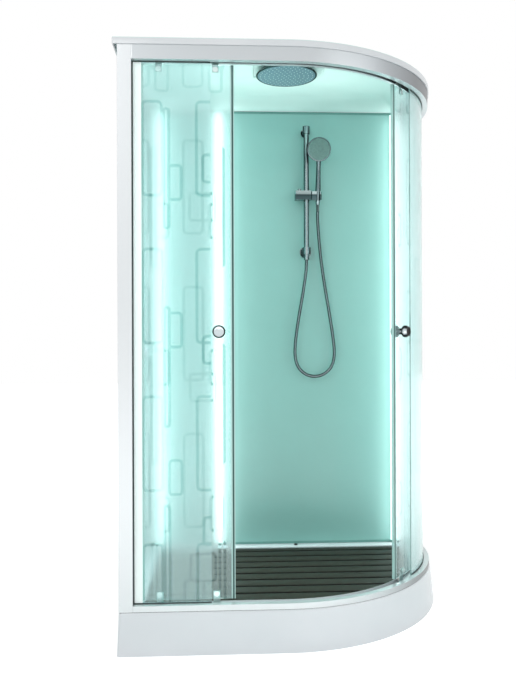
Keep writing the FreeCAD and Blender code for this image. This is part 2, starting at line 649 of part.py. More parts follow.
def make_roof():
    """Moulded roof: skirt over the rails, flat edge and a raised dome with a dish for the rain head."""
    roof = body("roof_shell")
    edge = outline(sketch_on(roof, "XY_Plane", "edge", "roof_low"), "roof_inset", LEFT, BACK)
    pad(roof, edge, "roof_edge_top - roof_low", "Edge")
    dome_left = LEFT + " + dome_left"
    dome_back = BACK + " - wall_face"
    outer = []
    inner = []
    for name, inset, height in (("foot", "0", "frame_top"), ("top", "dome_slope", "ceiling")):
        rise = height + " + roof_wall" if name == "top" else height
        outer.append(outline(
            sketch_on(roof, "XY_Plane", "outer_" + name, rise), "dome_inset - roof_wall + " + inset,
            dome_left + " - roof_wall + " + inset, dome_back + " + roof_wall - " + inset))
        inner.append(outline(
            sketch_on(roof, "XY_Plane", "inner_" + name, height), "dome_inset + " + inset,
            dome_left + " + " + inset, dome_back + " - " + inset))
    loft(roof, "AdditiveLoft", outer, "Dome")
    boss = circle(sketch_on(roof, "XY_Plane", "dish_outside", "ceiling"), "0", "0", "dish_size / 2 + 4")
    pad(roof, boss, "dish_depth + roof_wall", "DishWall")
    under = outline(sketch_on(roof, "XY_Plane", "under", "frame_top"), "roof_inset + roof_wall",
                    LEFT + " + roof_wall", BACK + " + 1")
    pocket(roof, under, "frame_top - roof_low", "Under")
    loft(roof, "SubtractiveLoft", inner, "DomeInside")
    dish = circle(sketch_on(roof, "XY_Plane", "dish_inside", "ceiling + dish_depth"), "0", "0", "dish_size / 2")
    pocket(roof, dish, "dish_depth", "Dish")
    hole = circle(sketch_on(roof, "XY_Plane", "inlet_place", "ceiling + dish_depth + roof_wall"),
                  "0", "0", "10.8")
    pocket(roof, hole, "roof_wall", "InletHole")
    node("roof_shell", roof)


def make_rain_head():
    """Round rain head under the dish, its nozzle face and the inlet through the roof."""
    radius = "rain_size / 2"
    height = "ceiling + dish_depth - rain_low"
    head = turned("rain_head", (
        ("0", "2"), (radius + " - 7", "2"), (radius + " - 7", "0"), (radius + " - 2", "0"), (radius, "2"),
        (radius, "5"), (radius + " - 16", "9"), ("30", "14"), ("24", height), ("0", height)))
    node("rain_head", place(head, "0", "0", "rain_low"))
    face = turned("rain_head_face", (
        ("0", "0"), (radius + " - 8", "0"), (radius + " - 7.2", "0.6"), (radius + " - 7.2", "2"), ("0", "2")))
    node("rain_head_face", place(face, "0", "0", "rain_low"))
    start = "ceiling + dish_depth"
    pipe = rod("inlet_pipe", "z", "0", "0", start, "10.2", "36")
    bore = rod("inlet_bore", "z", "0", "0", start + " + 4", "7", "40")
    nut = doc.addObject("Part::Prism", "inlet_nut")
    nut.Polygon = 6
    nut.Circumradius = 17
    nut.Height = 8
    place(nut, "0", "0", start + " + roof_wall")
    node("rain_head_inlet", cut("rain_head_inlet", fuse("inlet_body", [pipe, nut]), [bore]))


# ---- Fixed panes and gaskets -------------------------------------------------------------------

PANE_X = LEFT + " + rail_inset + post_width"
REAR_STOP = BACK + " - post_width"


def curved(label, inset, thick, low, high, angle):
    """Upright curved plate of the corner that ends where the right side starts."""
    radius = "corner_radius - (%s)" % inset
    plate = turned(label, (
        (radius + " - (%s)" % thick, low), (radius, low), (radius, high), (radius + " - (%s)" % thick, high),
    ), angle)
    return place(plate, ARC_X, ARC_Y, "0", Rotation(Vector(0, 0, 1), -number(angle)))


def right_strip(name, inset, thick, low, high, end):
    """Curved plate and the straight plate that follows it along the right side."""
    arc = curved(name + "_curve", inset, thick, low, high, "right_pane_turn")
    straight = box(name + "_straight", plan_x("%s + %s" % (inset, thick)), ARC_Y, low, thick,
                   "(%s) - (%s)" % (end, ARC_Y), "(%s) - (%s)" % (high, low))
    return [arc, straight]


def make_fixed_panes():
    """Left flat pane, right curved pane and the dark gaskets along their frames."""
    left = box("left_fixed_pane", PANE_X + " - slot_depth + 1", plan_y("fixed_inset"), "pane_low",
               "fixed_left_end - rail_inset - post_width + slot_depth - 1", "glass_wall", "pane_high - pane_low")
    node("left_fixed_pane", left)
    right = right_strip("right_pane", "fixed_inset", "glass_wall", "pane_low", "pane_high",
                        REAR_STOP + " + slot_depth - 1")
    pane = fuse("right_fixed_pane", right)
    pane.Refine = True
    node("right_fixed_pane", pane)
    lip = plan_y("fixed_inset - gasket_depth")
    along = "fixed_left_end - rail_inset - post_width"
    node("left_pane_gasket", fuse("left_pane_gasket", [
        box("left_gasket_low", PANE_X, lip, "low_rail_top", along, "gasket_depth", "gasket_width"),
        box("left_gasket_high", PANE_X, lip, "high_rail_low - gasket_width", along, "gasket_depth", "gasket_width"),
        box("left_gasket_side", PANE_X, lip, "low_rail_top", "gasket_width", "gasket_depth",
            "high_rail_low - low_rail_top"),
    ]))
    ring = "fixed_inset - gasket_depth"
    node("right_pane_gasket", fuse("right_pane_gasket", [
        *right_strip("right_gasket_low", ring, "gasket_depth", "low_rail_top", "low_rail_top + gasket_width",
                     REAR_STOP),
        *right_strip("right_gasket_high", ring, "gasket_depth", "high_rail_low - gasket_width", "high_rail_low",
                     REAR_STOP),
        box("right_gasket_side", plan_x("fixed_inset"), REAR_STOP + " - gasket_width", "low_rail_top",
            "gasket_depth", "gasket_width", "high_rail_low - low_rail_top"),
    ]))


# ---- Doors ---------------------------------------------------------------------------------------
# A spot on a door is its X, its Y and its turn about the vertical. Seen from a spot, x runs along
# the door to the right and y points into the cabin.

OUTWARD = Rotation(Vector(1, 0, 0), 90)
INWARD = Rotation(Vector(1, 0, 0), -90)
LOW_AXLE = "tray_height + section_wall + wheel_size / 2 + running_gap"
HIGH_AXLE = "high_rail_low + 7 + wheel_size / 2 + running_gap"
LOW_BOLT = "door_low + 18"
HIGH_BOLT = "door_high - 16"
BOLT = "4.5"
WIPER_TIP = "-(door_inset - fixed_inset - glass_wall - 0.6)"
DOOR_LENGTH = {
    "left": "(left_door_end - left_door_start)",
    "right": "(right_door_span / 57.29578 * (corner_radius - door_inset))",
}


def left_spot(setback, depth="0"):
    """Spot on the flat left door, back from its leading edge and in from its outer face."""
    return LEFT + " + left_door_end - (%s)" % setback, plan_y("door_inset + (%s)" % depth), "0"


def right_spot(setback, depth="0"):
    """Spot on the curved right door, back from its leading edge and in from its outer face."""
    angle = "(-right_door_lead + (%s) / (corner_radius - door_inset) * 57.29578)" % setback
    radius = "(corner_radius - door_inset - (%s))" % depth
    return (ARC_X + " + %s * cos(%s * 1deg)" % (radius, angle), ARC_Y + " + %s * sin(%s * 1deg)" % (radius, angle),
            angle + " + 90")


def stand(item, spot, z, rotation=None):
    """Put an object at a spot on a door."""
    x, y, turn = spot
    upright = Rotation(Vector(0, 0, 1), number(turn))
    return place(item, x, y, z, upright if rotation is None else upright * rotation)


def door_rod(name, spot, z, radius, length):
    """Cylinder at a spot that runs into the cabin."""
    item = doc.addObject("Part::Cylinder", name)
    item.setExpression("Radius", bound(radius))
    item.setExpression("Height", bound(length))
    return stand(item, spot, z, INWARD)


def make_door(side, spot, glass, lead):
    """One door: pane, edge seals, knobs, roller brackets and wheels; lead is +1 or -1 along its x."""
    setbacks = (("front", "wheel_setback"), ("rear", DOOR_LENGTH[side] + " - wheel_setback"))
    holes = [door_rod(side + "_knob_hole", spot("knob_setback", "-1"), "knob_height", "4", "glass_wall + 2")]
    brackets = []
    for end, setback in setbacks:
        for level, axle, bolt in (("low", LOW_AXLE, LOW_BOLT), ("high", HIGH_AXLE, HIGH_BOLT)):
            name = "%s_%s_%s" % (side, end, level)
            holes.append(door_rod(name + "_hole", spot(setback, "-1"), bolt, BOLT, "glass_wall + 2"))
            reach = "(%s) - (%s) + 16" % (HIGH_AXLE, HIGH_BOLT) if level == "high" else \
                "(%s) - (%s) + 16" % (LOW_BOLT, LOW_AXLE)
            foot = "(%s) - 8" % (bolt if level == "high" else axle)
            plate = doc.addObject("Part::Box", name + "_plate")
            plate.setExpression("Length", "24")
            plate.setExpression("Width", "3")
            plate.setExpression("Height", bound(reach))
            corner = spot("(%s) + %d" % (setback, 12 if lead > 0 else -12), "glass_wall + running_gap")
            corner = corner[:2] + (spot(setback)[2],)
            stand(plate, corner, foot)
            brackets.append(fuse(name + "_bracket", [
                plate,
                door_rod(name + "_bolt", spot(setback, "-4"), bolt, BOLT, "glass_wall + 5"),
                door_rod(name + "_cap", spot(setback, "-4"), bolt, "10", "3.7"),
                door_rod(name + "_pin", spot(setback, "glass_wall + 1"), axle, "3", "wheel_inset - door_inset - 1"),
            ]))
            wheel = turned("%s_wheel_%s_%s" % (side, end, level), (
                ("3.06", "0"), ("wheel_size / 2 - 1", "0"), ("wheel_size / 2", "1"),
                ("wheel_size / 2", "wheel_width - 1"), ("wheel_size / 2 - 1", "wheel_width"),
                ("3.06", "wheel_width")))
            stand(wheel, spot(setback, "wheel_inset - door_inset - wheel_width / 2"), axle, INWARD)
            node(wheel.Name, wheel)
    node(side + "_door_pane", cut(side + "_door_pane", glass, holes))
    node(side + "_roller_brackets", fuse(side + "_roller_brackets", brackets))
    gap, face, clip = "running_gap", "2.3", "seal_width - 4.5"
    edge = "%+d * " % lead
    seal = prism(side + "_door_seal", [(edge + "(%s)" % x, y) for x, y in (
        ("-(%s)" % clip, "-" + face), ("4.5", "-" + face), ("4.5", "glass_wall + " + face),
        ("-(%s)" % clip, "glass_wall + " + face), ("-(%s)" % clip, "glass_wall + " + gap),
        (gap, "glass_wall + " + gap), (gap, "-" + gap), ("-(%s)" % clip, "-" + gap))], "0", "door_high - door_low")
    stand(seal, spot("0"), "door_low")
    wiper = prism(side + "_wiper_seal", [(edge + "(%s)" % x, y) for x, y in (
        ("8", "-" + face), ("0", "-" + face), ("0", WIPER_TIP), ("-1.5", WIPER_TIP),
        ("-1.5", "glass_wall + " + face), ("8", "glass_wall + " + face), ("8", "glass_wall + " + gap),
        ("-" + gap, "glass_wall + " + gap), ("-" + gap, "-" + gap), ("8", "-" + gap))],
        "0", "door_high - door_low")
    stand(wiper, spot(DOOR_LENGTH[side]), "door_low")
    node(side + "_door_seals", fuse(side + "_door_seals", [seal, wiper]))
    size = "knob_size / 2"
    outer = turned(side + "_outer_knob", (
        ("0", "0"), ("9", "0"), ("9", "11"), (size + " - 3", "11"), (size, "14"), (size, "31"),
        (size + " - 4", "35"), ("0", "35")))
    node(side + "_outer_knob", stand(outer, spot("knob_setback"), "knob_height", OUTWARD))
    inner = turned(side + "_inner_knob", (
        ("0", "-glass_wall"), ("4", "-glass_wall"), ("4", "0"), ("9", "0"), ("9", "11"), (size + " - 3", "11"),
        (size, "14"), (size, "26"), (size + " - 4", "30"), ("0", "30")))
    node(side + "_inner_knob", stand(inner, spot("knob_setback", "glass_wall"), "knob_height", INWARD))


def make_doors():
    """Flat left door and curved right door, both as they stand when open."""
    flat = box("left_glass", LEFT + " + left_door_start", plan_y("door_inset"), "door_low",
               "left_door_end - left_door_start", "glass_wall", "door_high - door_low")
    make_door("left", left_spot, flat, 1)
    bent = curved("right_glass", "door_inset", "glass_wall", "door_low", "door_high", "right_door_span")
    start = "-right_door_lead"
    bent.Placement = Placement(bent.Placement.Base, Rotation(Vector(0, 0, 1), number(start)))
    place(bent, ARC_X, ARC_Y, "0")
    make_door("right", right_spot, bent, -1)


# ---- Shower rail, handset and hose ---------------------------------------------------------------

HOLDER = (RISER_X + " + holder_offset", RISER_Y, "slider_height")


def lean(item):
    """Put an object made round the handset's axis in the holder, leaning towards the door."""
    return place(item, *HOLDER, Rotation(Vector(1, 0, 0), number("handset_tilt")))


def lone(name, shape):
    """Wrapper that can be placed anew."""
    item = doc.addObject("Part::Compound", name)
    item.Links = [shape]
    return item


def cone(name, z, low_radius, high_radius, length):
    """Upright cone about the Z axis."""
    item = doc.addObject("Part::Cone", name)
    item.setExpression("Radius1", bound(low_radius))
    item.setExpression("Radius2", bound(high_radius))
    item.setExpression("Height", bound(length))
    return place(item, "0", "0", z)


def make_riser():
    """Riser bar between its upper fixing and the water outlet, both on the rear wall."""
    bar = "riser_bar_size / 2"
    node("riser_bar", rod("riser_bar", "z", RISER_X, RISER_Y, "riser_low + 4", bar,
                          "riser_high - riser_low + 6"))
    for label, level, radius, tube, rose, low, high, seat, tail in (
        ("riser_top_fixing", "riser_high", "16", "9", "20", "-16", "18", "-17", "0"),
        ("water_outlet", "riser_low", "19", "13", "26", "-15", "17", "4", "19"),
    ):
        parts = [
            rod(label + "_body", "z", RISER_X, RISER_Y, "%s + %s" % (level, low), radius, "%s - (%s)" % (high, low)),
            rod(label + "_arm", "y", RISER_X, RISER_Y, level, tube, "riser_gap"),
            rod(label + "_rose", "y", RISER_X, RISER_Y + " + riser_gap - 7", level, rose, "7"),
        ]
        if tail != "0":
            through = RISER_Y + " + riser_gap + wall_thick + 1"
            parts.append(rod(label + "_neck", "y", RISER_X, RISER_Y + " + riser_gap", level, "9.8", "wall_thick + 1"))
            parts.append(rod(label + "_tail", "y", RISER_X, through, level, "10.4", tail))
            parts.append(rod(label + "_spigot", "z", RISER_X, RISER_Y, level + " + %s - 14" % low, "9", "15"))
        length = "27" if label == "riser_top_fixing" else "30"
        seat_rod = rod(label + "_seat", "z", RISER_X, RISER_Y, "%s + %s" % (level, seat), bar, length)
        node(label, cut(label, fuse(label + "_parts", parts), [seat_rod]))
    nut = rod("outlet_nut_body", "z", RISER_X, RISER_Y, "riser_low - 39", "12", "24")
    bore = rod("outlet_nut_bore", "z", RISER_X, RISER_Y, "riser_low - 29", "9", "14")
    node("outlet_hose_nut", cut("outlet_hose_nut", nut, [bore]))


def make_slider():
    """Slider on the bar with a clamp knob on its wing, and the tilting holder on its other side."""
    half = "slider_width / 2"
    wing = RISER_X + " - " + half + " - slider_wing"
    knob_x = wing + " + 22"
    top = "slider_height + slider_size / 2"
    block = box("slider_block", wing, RISER_Y + " - 19", "slider_height - slider_size / 2",
                "slider_width + slider_wing", "38", "slider_size")
    rounded = doc.addObject("Part::Fillet", "slider_round")
    rounded.Base = block
    doc.recompute()
    rounded.Edges = [(index, 6, 6) for index, edge in enumerate(block.Shape.Edges, start=1)
                     if edge.BoundBox.ZLength > 1]
    pin = rod("tilt_pin", "x", RISER_X + " + " + half + " - 2", RISER_Y, "slider_height", "4", "14")
    bore = rod("slider_bore", "z", RISER_X, RISER_Y, "slider_height - slider_size", "riser_bar_size / 2 + 0.1",
               "slider_size * 2")
    socket = rod("clamp_socket", "z", knob_x, RISER_Y, top + " - 8", "4.06", "9")
    node("rail_slider", cut("rail_slider", fuse("slider_parts", [rounded, pin]), [bore, socket]))
    node("clamp_knob", fuse("clamp_knob", [
        rod("clamp_grip", "z", knob_x, RISER_Y, top, "8", "9"),
        rod("clamp_screw", "z", knob_x, RISER_Y, top + " - 7", "4", "7"),
    ]))
    arm_start = "-(holder_offset - %s)" % half
    ring = rod("holder_ring", "z", "0", "0", "-18", "17.5", "36")
    arm = box("holder_arm", arm_start + " + 0.5", "-19", "-20", "holder_offset - %s + 9" % half, "38", "40")
    socket = cone("holder_socket", "-20", "11.1", "12.5", "40")
    slot = box("holder_slot", "-7.6", "-20", "-20", "15.2", "20", "40")
    hole = rod("holder_pin_hole", "x", arm_start + " - 1", "0", "0", "4.06", "14")
    holder = cut("handset_holder", fuse("holder_parts", [ring, arm]), [socket, slot, hole])
    node("handset_holder", lean(holder))


def make_handset():
    """Handset in the holder: handle and head in one, the nozzle face, the hose nut and the bend sleeve."""
    head = turned("head_shape", (
        ("0", "0"), ("head_size / 2 - 4", "0"), ("head_size / 2", "4"), ("head_size / 2", "8"),
        ("head_size / 2 - 9", "15"), ("head_size / 4", "20"), ("0", "22")))
    place(head, "0", "-16", "handset_length", INWARD)
    grip = cone("handset_grip", "20", "12", "10", "handset_length - 20 - head_size / 2 + 12")
    seat = cone("handset_seat", "-20", "11", "12.4", "40")
    node("handset_body", lean(fuse("handset_body", [seat, grip, head])))
    face = rod("handset_face_disc", "y", "0", "-18.5", "handset_length", "head_size / 2 - 6", "2.5")
    node("handset_face", lean(lone("handset_face", face)))
    nut = cone("handset_nut_cone", "-20 - nut_length", "8.4", "10", "nut_length")
    node("handset_hose_nut", lean(lone("handset_hose_nut", nut)))
    sleeve = cone("bend_sleeve_cone", "-20 - nut_length - sleeve_length", "hose_size / 2", "8.4", "sleeve_length")
    node("bend_sleeve", lean(lone("bend_sleeve", sleeve)))


# Straight run of the hose at each of its ends.
HOSE_LEAD = 26

# The hose's corners between them: right of the roof's left edge, in front of the rear panel, above the floor.
HOSE_POINTS = (
    (821, 34, 1590),
    (831, 35, 1470),
    (850, 36, 1335),
    (873, 36, 1200),
    (891, 36, 1080),
    (895, 36, 1008),
    (877, 36, 955),
    (831, 36, 922),
    (775, 36, 922),
    (729, 36, 955),
    (711, 36, 1008),
    (713, 36, 1080),
    (729, 37, 1190),
    (747, 40, 1290),
    (760, 45, 1375),
)


def hose_corners():
    """Corners of the hose's route from the bend sleeve to the outlet's nut."""
    down = Rotation(Vector(1, 0, 0), number("handset_tilt")).multVec(Vector(0, 0, -1))
    holder = Vector(*(number(text) for text in HOLDER))
    start = holder + down * number("20 + nut_length + sleeve_length")
    wall = number(BACK + " - wall_face")
    middle = [Vector(number(LEFT) + x, wall - y, z) for x, y, z in HOSE_POINTS]
    end = Vector(number(RISER_X), number(RISER_Y), number("riser_low - 39"))
    return [start, start + down * HOSE_LEAD] + middle + [end - Vector(0, 0, HOSE_LEAD), end]


def make_hose():
    """Shower hose: straight runs joined by the largest tangent arcs that they allow."""
    corners = hose_corners()
    edges = []
    begin = corners[0]
    radii = []
    for before, corner, after in zip(corners, corners[1:], corners[2:]):
        back, ahead = before - corner, after - corner
        reach = 0.45 * min(back.Length, ahead.Length)
        half = (math.pi - back.getAngle(ahead)) / 2
        radii.append(reach / math.tan(half))
        back.normalize()
        ahead.normalize()
        inward = back + ahead
        inward.normalize()
        enter, leave = corner + back * reach, corner + ahead * reach
        centre_way = radii[-1] / math.cos(half)
        middle = corner + inward * (centre_way - radii[-1])
        edges.append(Part.LineSegment(begin, enter).toShape())
        edges.append(Part.Arc(enter, middle, leave).toShape())
        begin = leave
    edges.append(Part.LineSegment(begin, corners[-1]).toShape())
    path = Part.Wire(edges)
    radius = number("hose_size / 2")
    ring = Part.Circle(corners[0], corners[1] - corners[0], radius).toShape()
    tube = path.makePipeShell([Part.Wire(ring)], True, False)
    hose = doc.addObject("Part::Feature", "shower_hose")
    hose.Shape = tube
    section = math.pi * radius ** 2
    print("hose length %.0f mm, least radius %.0f mm, volume over section times length %.4f"
          % (path.Length, min(radii), tube.Volume / (section * path.Length)))
    print("hose radii", [round(value) for value in radii])
    node("shower_hose", hose)


def make_mixer():
    """Mixer on the left wall with its two inlets, the temperature handle and the diverter handle."""
    x = LEFT + " + left_face + mixer_reach"
    parts = [rod("mixer_tube", "y", x, MIXER_Y + " - 110", "mixer_height", "20", "220")]
    for name, offset in MIXER_LEGS:
        y = MIXER_Y + offset
        parts.append(rod(name + "_leg", "x", LEFT + " + left_face", y, "mixer_height", "13", "mixer_reach"))
        parts.append(rod(name + "_rose", "x", LEFT + " + left_face", y, "mixer_height", "30", "8"))
        parts.append(rod(name + "_neck", "x", LEFT + " + left_face - wall_thick - 1", y, "mixer_height", "9.8",
                         "wall_thick + 1"))
        parts.append(rod(name + "_tail", "x", LEFT + " + 2", y, "mixer_height", "10.4", "left_face - wall_thick - 3"))
    for name, start in (("temperature", " - 132"), ("diverter", " + 110")):
        parts.append(rod(name + "_shaft", "y", x, MIXER_Y + start, "mixer_height", "6", "22"))
    node("mixer_body", fuse("mixer_body", parts))
    for label, start, hole in (("temperature_handle", " - 153", " - 132"), ("diverter_handle", " + 110.5", " + 110")):
        grip = rod(label + "_grip", "y", x, MIXER_Y + start, "mixer_height", "22", "42.5")
        bore = rod(label + "_bore", "y", x, MIXER_Y + hole, "mixer_height", "6.06", "22")
        node(label, cut(label, grip, [bore]))


def main():
    """Build every sub-part, test it and write its file."""
    for make in (make_tray, make_support, make_drain, make_duckboard, make_rails, make_posts, make_walls,
                 make_roof, make_rain_head, make_fixed_panes, make_doors, make_riser, make_slider,
                 make_handset, make_hose, make_mixer):
        make()
    doc.recompute()
    for item in doc.Objects:
        if "Invalid" in item.State or "Error" in item.State:
            raise RuntimeError("%s failed: %s" % (item.Name, item.State))
    os.makedirs("parts", exist_ok=True)
    for item in NODES:
        shape = item.Shape
        if shape.isNull() or not shape.isValid() or not shape.Solids:
            raise RuntimeError("%s has no valid solid" % item.Label)
        shape.exportStep(os.path.join("parts", item.Label + ".step"))
        print("%-28s %2d solids %12.0f mm3" % (item.Label, len(shape.Solids), shape.Volume))
    print(len(NODES), "nodes")


main()
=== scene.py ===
"""Looks of the quadrant steam shower cabin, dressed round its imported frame.

Lengths are metres in the frame's own axes: +X right along the front, +Y to the room's wall, +Z up.
"""

import json
import logging
import math
from dataclasses import dataclass
from enum import Enum
from typing import Callable, Dict, Iterator, Optional, Sequence, Tuple, Union

import bmesh
import bpy
import numpy as np
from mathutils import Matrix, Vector

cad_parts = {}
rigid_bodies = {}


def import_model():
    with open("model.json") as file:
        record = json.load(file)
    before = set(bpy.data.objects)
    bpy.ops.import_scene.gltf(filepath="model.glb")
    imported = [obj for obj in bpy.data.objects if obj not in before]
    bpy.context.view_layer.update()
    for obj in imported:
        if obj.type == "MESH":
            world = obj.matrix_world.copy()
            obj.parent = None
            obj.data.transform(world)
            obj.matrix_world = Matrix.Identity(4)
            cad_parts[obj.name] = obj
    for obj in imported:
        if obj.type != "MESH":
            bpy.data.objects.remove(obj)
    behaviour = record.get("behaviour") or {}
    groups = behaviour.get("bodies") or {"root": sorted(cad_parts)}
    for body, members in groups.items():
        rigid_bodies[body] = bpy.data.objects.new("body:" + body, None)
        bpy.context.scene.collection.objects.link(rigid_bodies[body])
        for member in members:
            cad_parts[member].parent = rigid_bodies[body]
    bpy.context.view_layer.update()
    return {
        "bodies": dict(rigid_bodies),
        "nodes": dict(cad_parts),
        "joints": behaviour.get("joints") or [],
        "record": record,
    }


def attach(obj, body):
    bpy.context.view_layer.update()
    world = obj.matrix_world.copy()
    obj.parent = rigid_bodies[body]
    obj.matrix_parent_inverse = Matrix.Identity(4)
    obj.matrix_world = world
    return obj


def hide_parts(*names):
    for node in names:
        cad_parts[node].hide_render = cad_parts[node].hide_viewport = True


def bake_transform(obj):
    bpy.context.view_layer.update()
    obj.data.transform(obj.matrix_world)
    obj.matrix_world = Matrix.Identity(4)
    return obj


LOG = logging.getLogger("steam_shower_cabin")

MM = 0.001
HALF_WIDTH = 0.645
HALF_DEPTH = 0.430
CORNER_RADIUS = 0.680
ARC_CENTRE = (HALF_WIDTH - CORNER_RADIUS, CORNER_RADIUS - HALF_DEPTH)
# Distance from the tray's outline to the gap between the two layers of glass.
PANE_GAP = 0.0515
# Heights of the roof's flat edge, of the rain head's face and of the slider's middle at rest.
ROOF_EDGE = 2.150
NOZZLE_PLATE = 2.168
SLIDER_MIDDLE = 1.748
# The top rail beside the post, which is painted with the roof's shadow, lies above this height and right of
# this X.
RAIL_LOW, RAIL_LEFT = 2.07, -0.575
# Middles of the dark lips at the doors' leading edges, as lengths along the panes, and half a lip's width.
LIPS = (-0.2268, 0.4400)
LIP_HALF = 0.003
# Shares of a noise between which a cloud's colours and gloss run.
CLOUD = (0.3, 0.7)
# Stretch of a noise into fine lines along Z.
LINES = (1, 1, 0.01)
# Points closer than this are one.
DOUBLE = 1e-6

Array = np.ndarray
Flat = Tuple[float, float]
Point = Tuple[float, float, float]
Shape = Tuple[Array, Array]
Socket = bpy.types.NodeSocket
Material = bpy.types.Material


def link(name: str, data: bpy.types.ID) -> bpy.types.Object:
    """Object round its data, in the scene."""
    item = bpy.data.objects.new(name, data)
    bpy.context.scene.collection.objects.link(item)
    return item


# ---- Colours and node materials ------------------------------------------------------------------

def linear(hex_colour: str) -> Tuple[float, float, float, float]:
    """Linear red, green and blue of an sRGB value of six hex digits, with an alpha of 1."""
    parts = [int(hex_colour[i:i + 2], 16) / 255 for i in (0, 2, 4)]
    return (*(c / 12.92 if c <= 0.04045 else ((c + 0.055) / 1.055) ** 2.4 for c in parts), 1.0)


class Nodes:
    """A node tree and what is added to it."""

    def __init__(self, tree: bpy.types.NodeTree) -> None:
        """Keep the tree."""
        self.tree = tree

    def plug(self, value: object, socket: Socket) -> None:
        """Link an output to a socket, or set the socket's value.

        Args:
            value: an output socket or a plain value.
            socket: the input.
        """
        if isinstance(value, Socket):
            self.tree.links.new(value, socket)
        else:
            socket.default_value = value

    def add(self, kind: str, settings: Optional[Dict[str, object]] = None, **links: object) -> bpy.types.Node:
        """Add a node with its settings and links.

        Args:
            kind: node type without its ShaderNode prefix.
            settings: attributes of the node.
            links: input name or in0, in1, ... with a value or an output socket.

        Returns:
            The new node.
        """
        node = self.tree.nodes.new("ShaderNode" + kind)
        for key, value in (settings or {}).items():
            setattr(node, key, value)
        for key, value in links.items():
            index = int(key[2:]) if key[:2] == "in" and key[2:].isdigit() else key.replace("_", " ")
            self.plug(value, node.inputs[index])
        return node

    def math(self, operation: str, first: object, second: object = 0.0, third: object = 0.0) -> Socket:
        """Output of a Math node."""
        return self.add("Math", {"operation": operation}, in0=first, in1=second, in2=third).outputs[0]

    def span(self, factor: object, low: float, high: float, start: float = 0.0, end: float = 1.0) -> Socket:
        """Map a factor from start..end to low..high."""
        limits = {"From_Min": start, "From_Max": end, "To_Min": low, "To_Max": high}
        return self.add("MapRange", Value=factor, **limits).outputs[0]

    def seen(self) -> Socket:
        """1 for rays of the camera, of gloss and through clear pieces, 0 for rays that only light."""
        path = self.add("LightPath").outputs
        shown = self.math("MAXIMUM", path["Is Camera Ray"], path["Is Glossy Ray"])
        return self.math("MAXIMUM", shown, path["Is Transmission Ray"])


class Finish(Nodes):
    """One node material with a Principled shader."""

    def __init__(self, name: str, **sockets: object) -> None:
        """Make the material.

        Args:
            name: name of the material.
            sockets: values of the shader's sockets, with _ for a space in their names.
        """
        self.material = bpy.data.materials.new(name)
        self.material.use_nodes = True
        super().__init__(self.material.node_tree)
        self.shader = self.tree.nodes["Principled BSDF"]
        self.drive(**sockets)

    def drive(self, **sockets: object) -> None:
        """Set or link the shader's sockets, with _ for a space in their names."""
        for key, value in sockets.items():
            self.plug(value, self.shader.inputs[key.replace("_", " ")])

    def place(self, output: str = "Object") -> Socket:
        """Output of Texture Coordinate."""
        return self.add("TexCoord").outputs[output]

    def axes(self, output: str = "Object") -> Sequence[Socket]:
        """X, Y and Z of an output of Texture Coordinate."""
        return self.add("SeparateXYZ", Vector=self.place(output)).outputs

    def above(self, start: float, end: float) -> Socket:
        """0 under one height, 1 over another."""
        return self.span(self.axes()[2], 0.0, 1.0, start, end)

    def noise(self, grain: float, detail: float = 2.0, stretch: Point = (1, 1, 1)) -> Socket:
        """Noise on Object coordinates.

        Args:
            grain: size of its features in millimetres.
            detail: octaves.
            stretch: factors on the three axes.

        Returns:
            A share from 0 to 1.
        """
        place = self.add("Mapping", Vector=self.place(), Scale=stretch).outputs[0]
        return self.add("TexNoise", Vector=place, Scale=1 / (grain * MM), Detail=detail).outputs["Fac"]

    def hollow(self, reach: float, samples: int) -> Socket:
        """Ambient occlusion within a reach in millimetres: 0 deep in a gap, 1 in the open."""
        return self.add("AmbientOcclusion", {"samples": samples}, Distance=reach * MM).outputs["AO"]

    def facing(self, blend: float) -> Socket:
        """How far a face turns away from the eye, 0 to 1."""
        return self.add("LayerWeight", Blend=blend).outputs["Facing"]

    def ramp(self, factor: object, *stops: Tuple[float, str]) -> Socket:
        """Colour ramp through hex colours.

        Args:
            factor: what runs along the ramp.
            stops: place and colour of each stop.

        Returns:
            The colour.
        """
        node = self.add("ValToRGB", Fac=factor)
        elements = node.color_ramp.elements
        while len(elements) < len(stops):
            elements.new(0.5)
        for element, (place, colour) in zip(elements, stops):
            element.position = place
            element.color = linear(colour)
        return node.outputs[0]

    def cloud(self, factor: object, low: str, high: str) -> Socket:
        """Two hex colours that run into each other over a cloud."""
        return self.ramp(factor, (CLOUD[0], low), (CLOUD[1], high))

    def mix(self, share: object, first: object, second: object, kind: str = "MIX") -> Socket:
        """Two colours mixed, or multiplied, by a share."""
        return self.add("MixRGB", {"blend_type": kind}, Fac=share, Color1=first, Color2=second).outputs[0]

    def distance(self, first: object, second: object) -> Socket:
        """Root of the sum of two squares."""
        squares = [self.math("POWER", value, 2.0) for value in (first, second)]
        return self.math("SQRT", self.math("ADD", *squares))

    def bump(self, height: object, depth: float) -> None:
        """Bump on the shader's normal, with its depth in millimetres."""
        self.drive(Normal=self.add("Bump", Height=height, Distance=depth * MM, Strength=1.0).outputs[0])


@dataclass(frozen=True)
class Plain:
    """A finish with a slight cloud in its colour and its gloss.

    name says the material and its process; low and high are the colours of the cloud, grain is its size
    in millimetres, and relief the depth of its bump in millimetres.
    """

    name: str
    low: str
    high: str
    roughness: Flat
    metallic: float = 0.0
    grain: float = 20.0
    relief: float = 0.0

    def make(self) -> Material:
        """Build the material."""
        finish = Finish(self.name, Metallic=self.metallic)
        cloud = finish.noise(self.grain, 3.0)
        finish.drive(Base_Color=finish.cloud(cloud, self.low, self.high),
                     Roughness=finish.span(cloud, *self.roughness, *CLOUD))
        if self.relief:
            finish.bump(cloud, self.relief)
        return finish.material


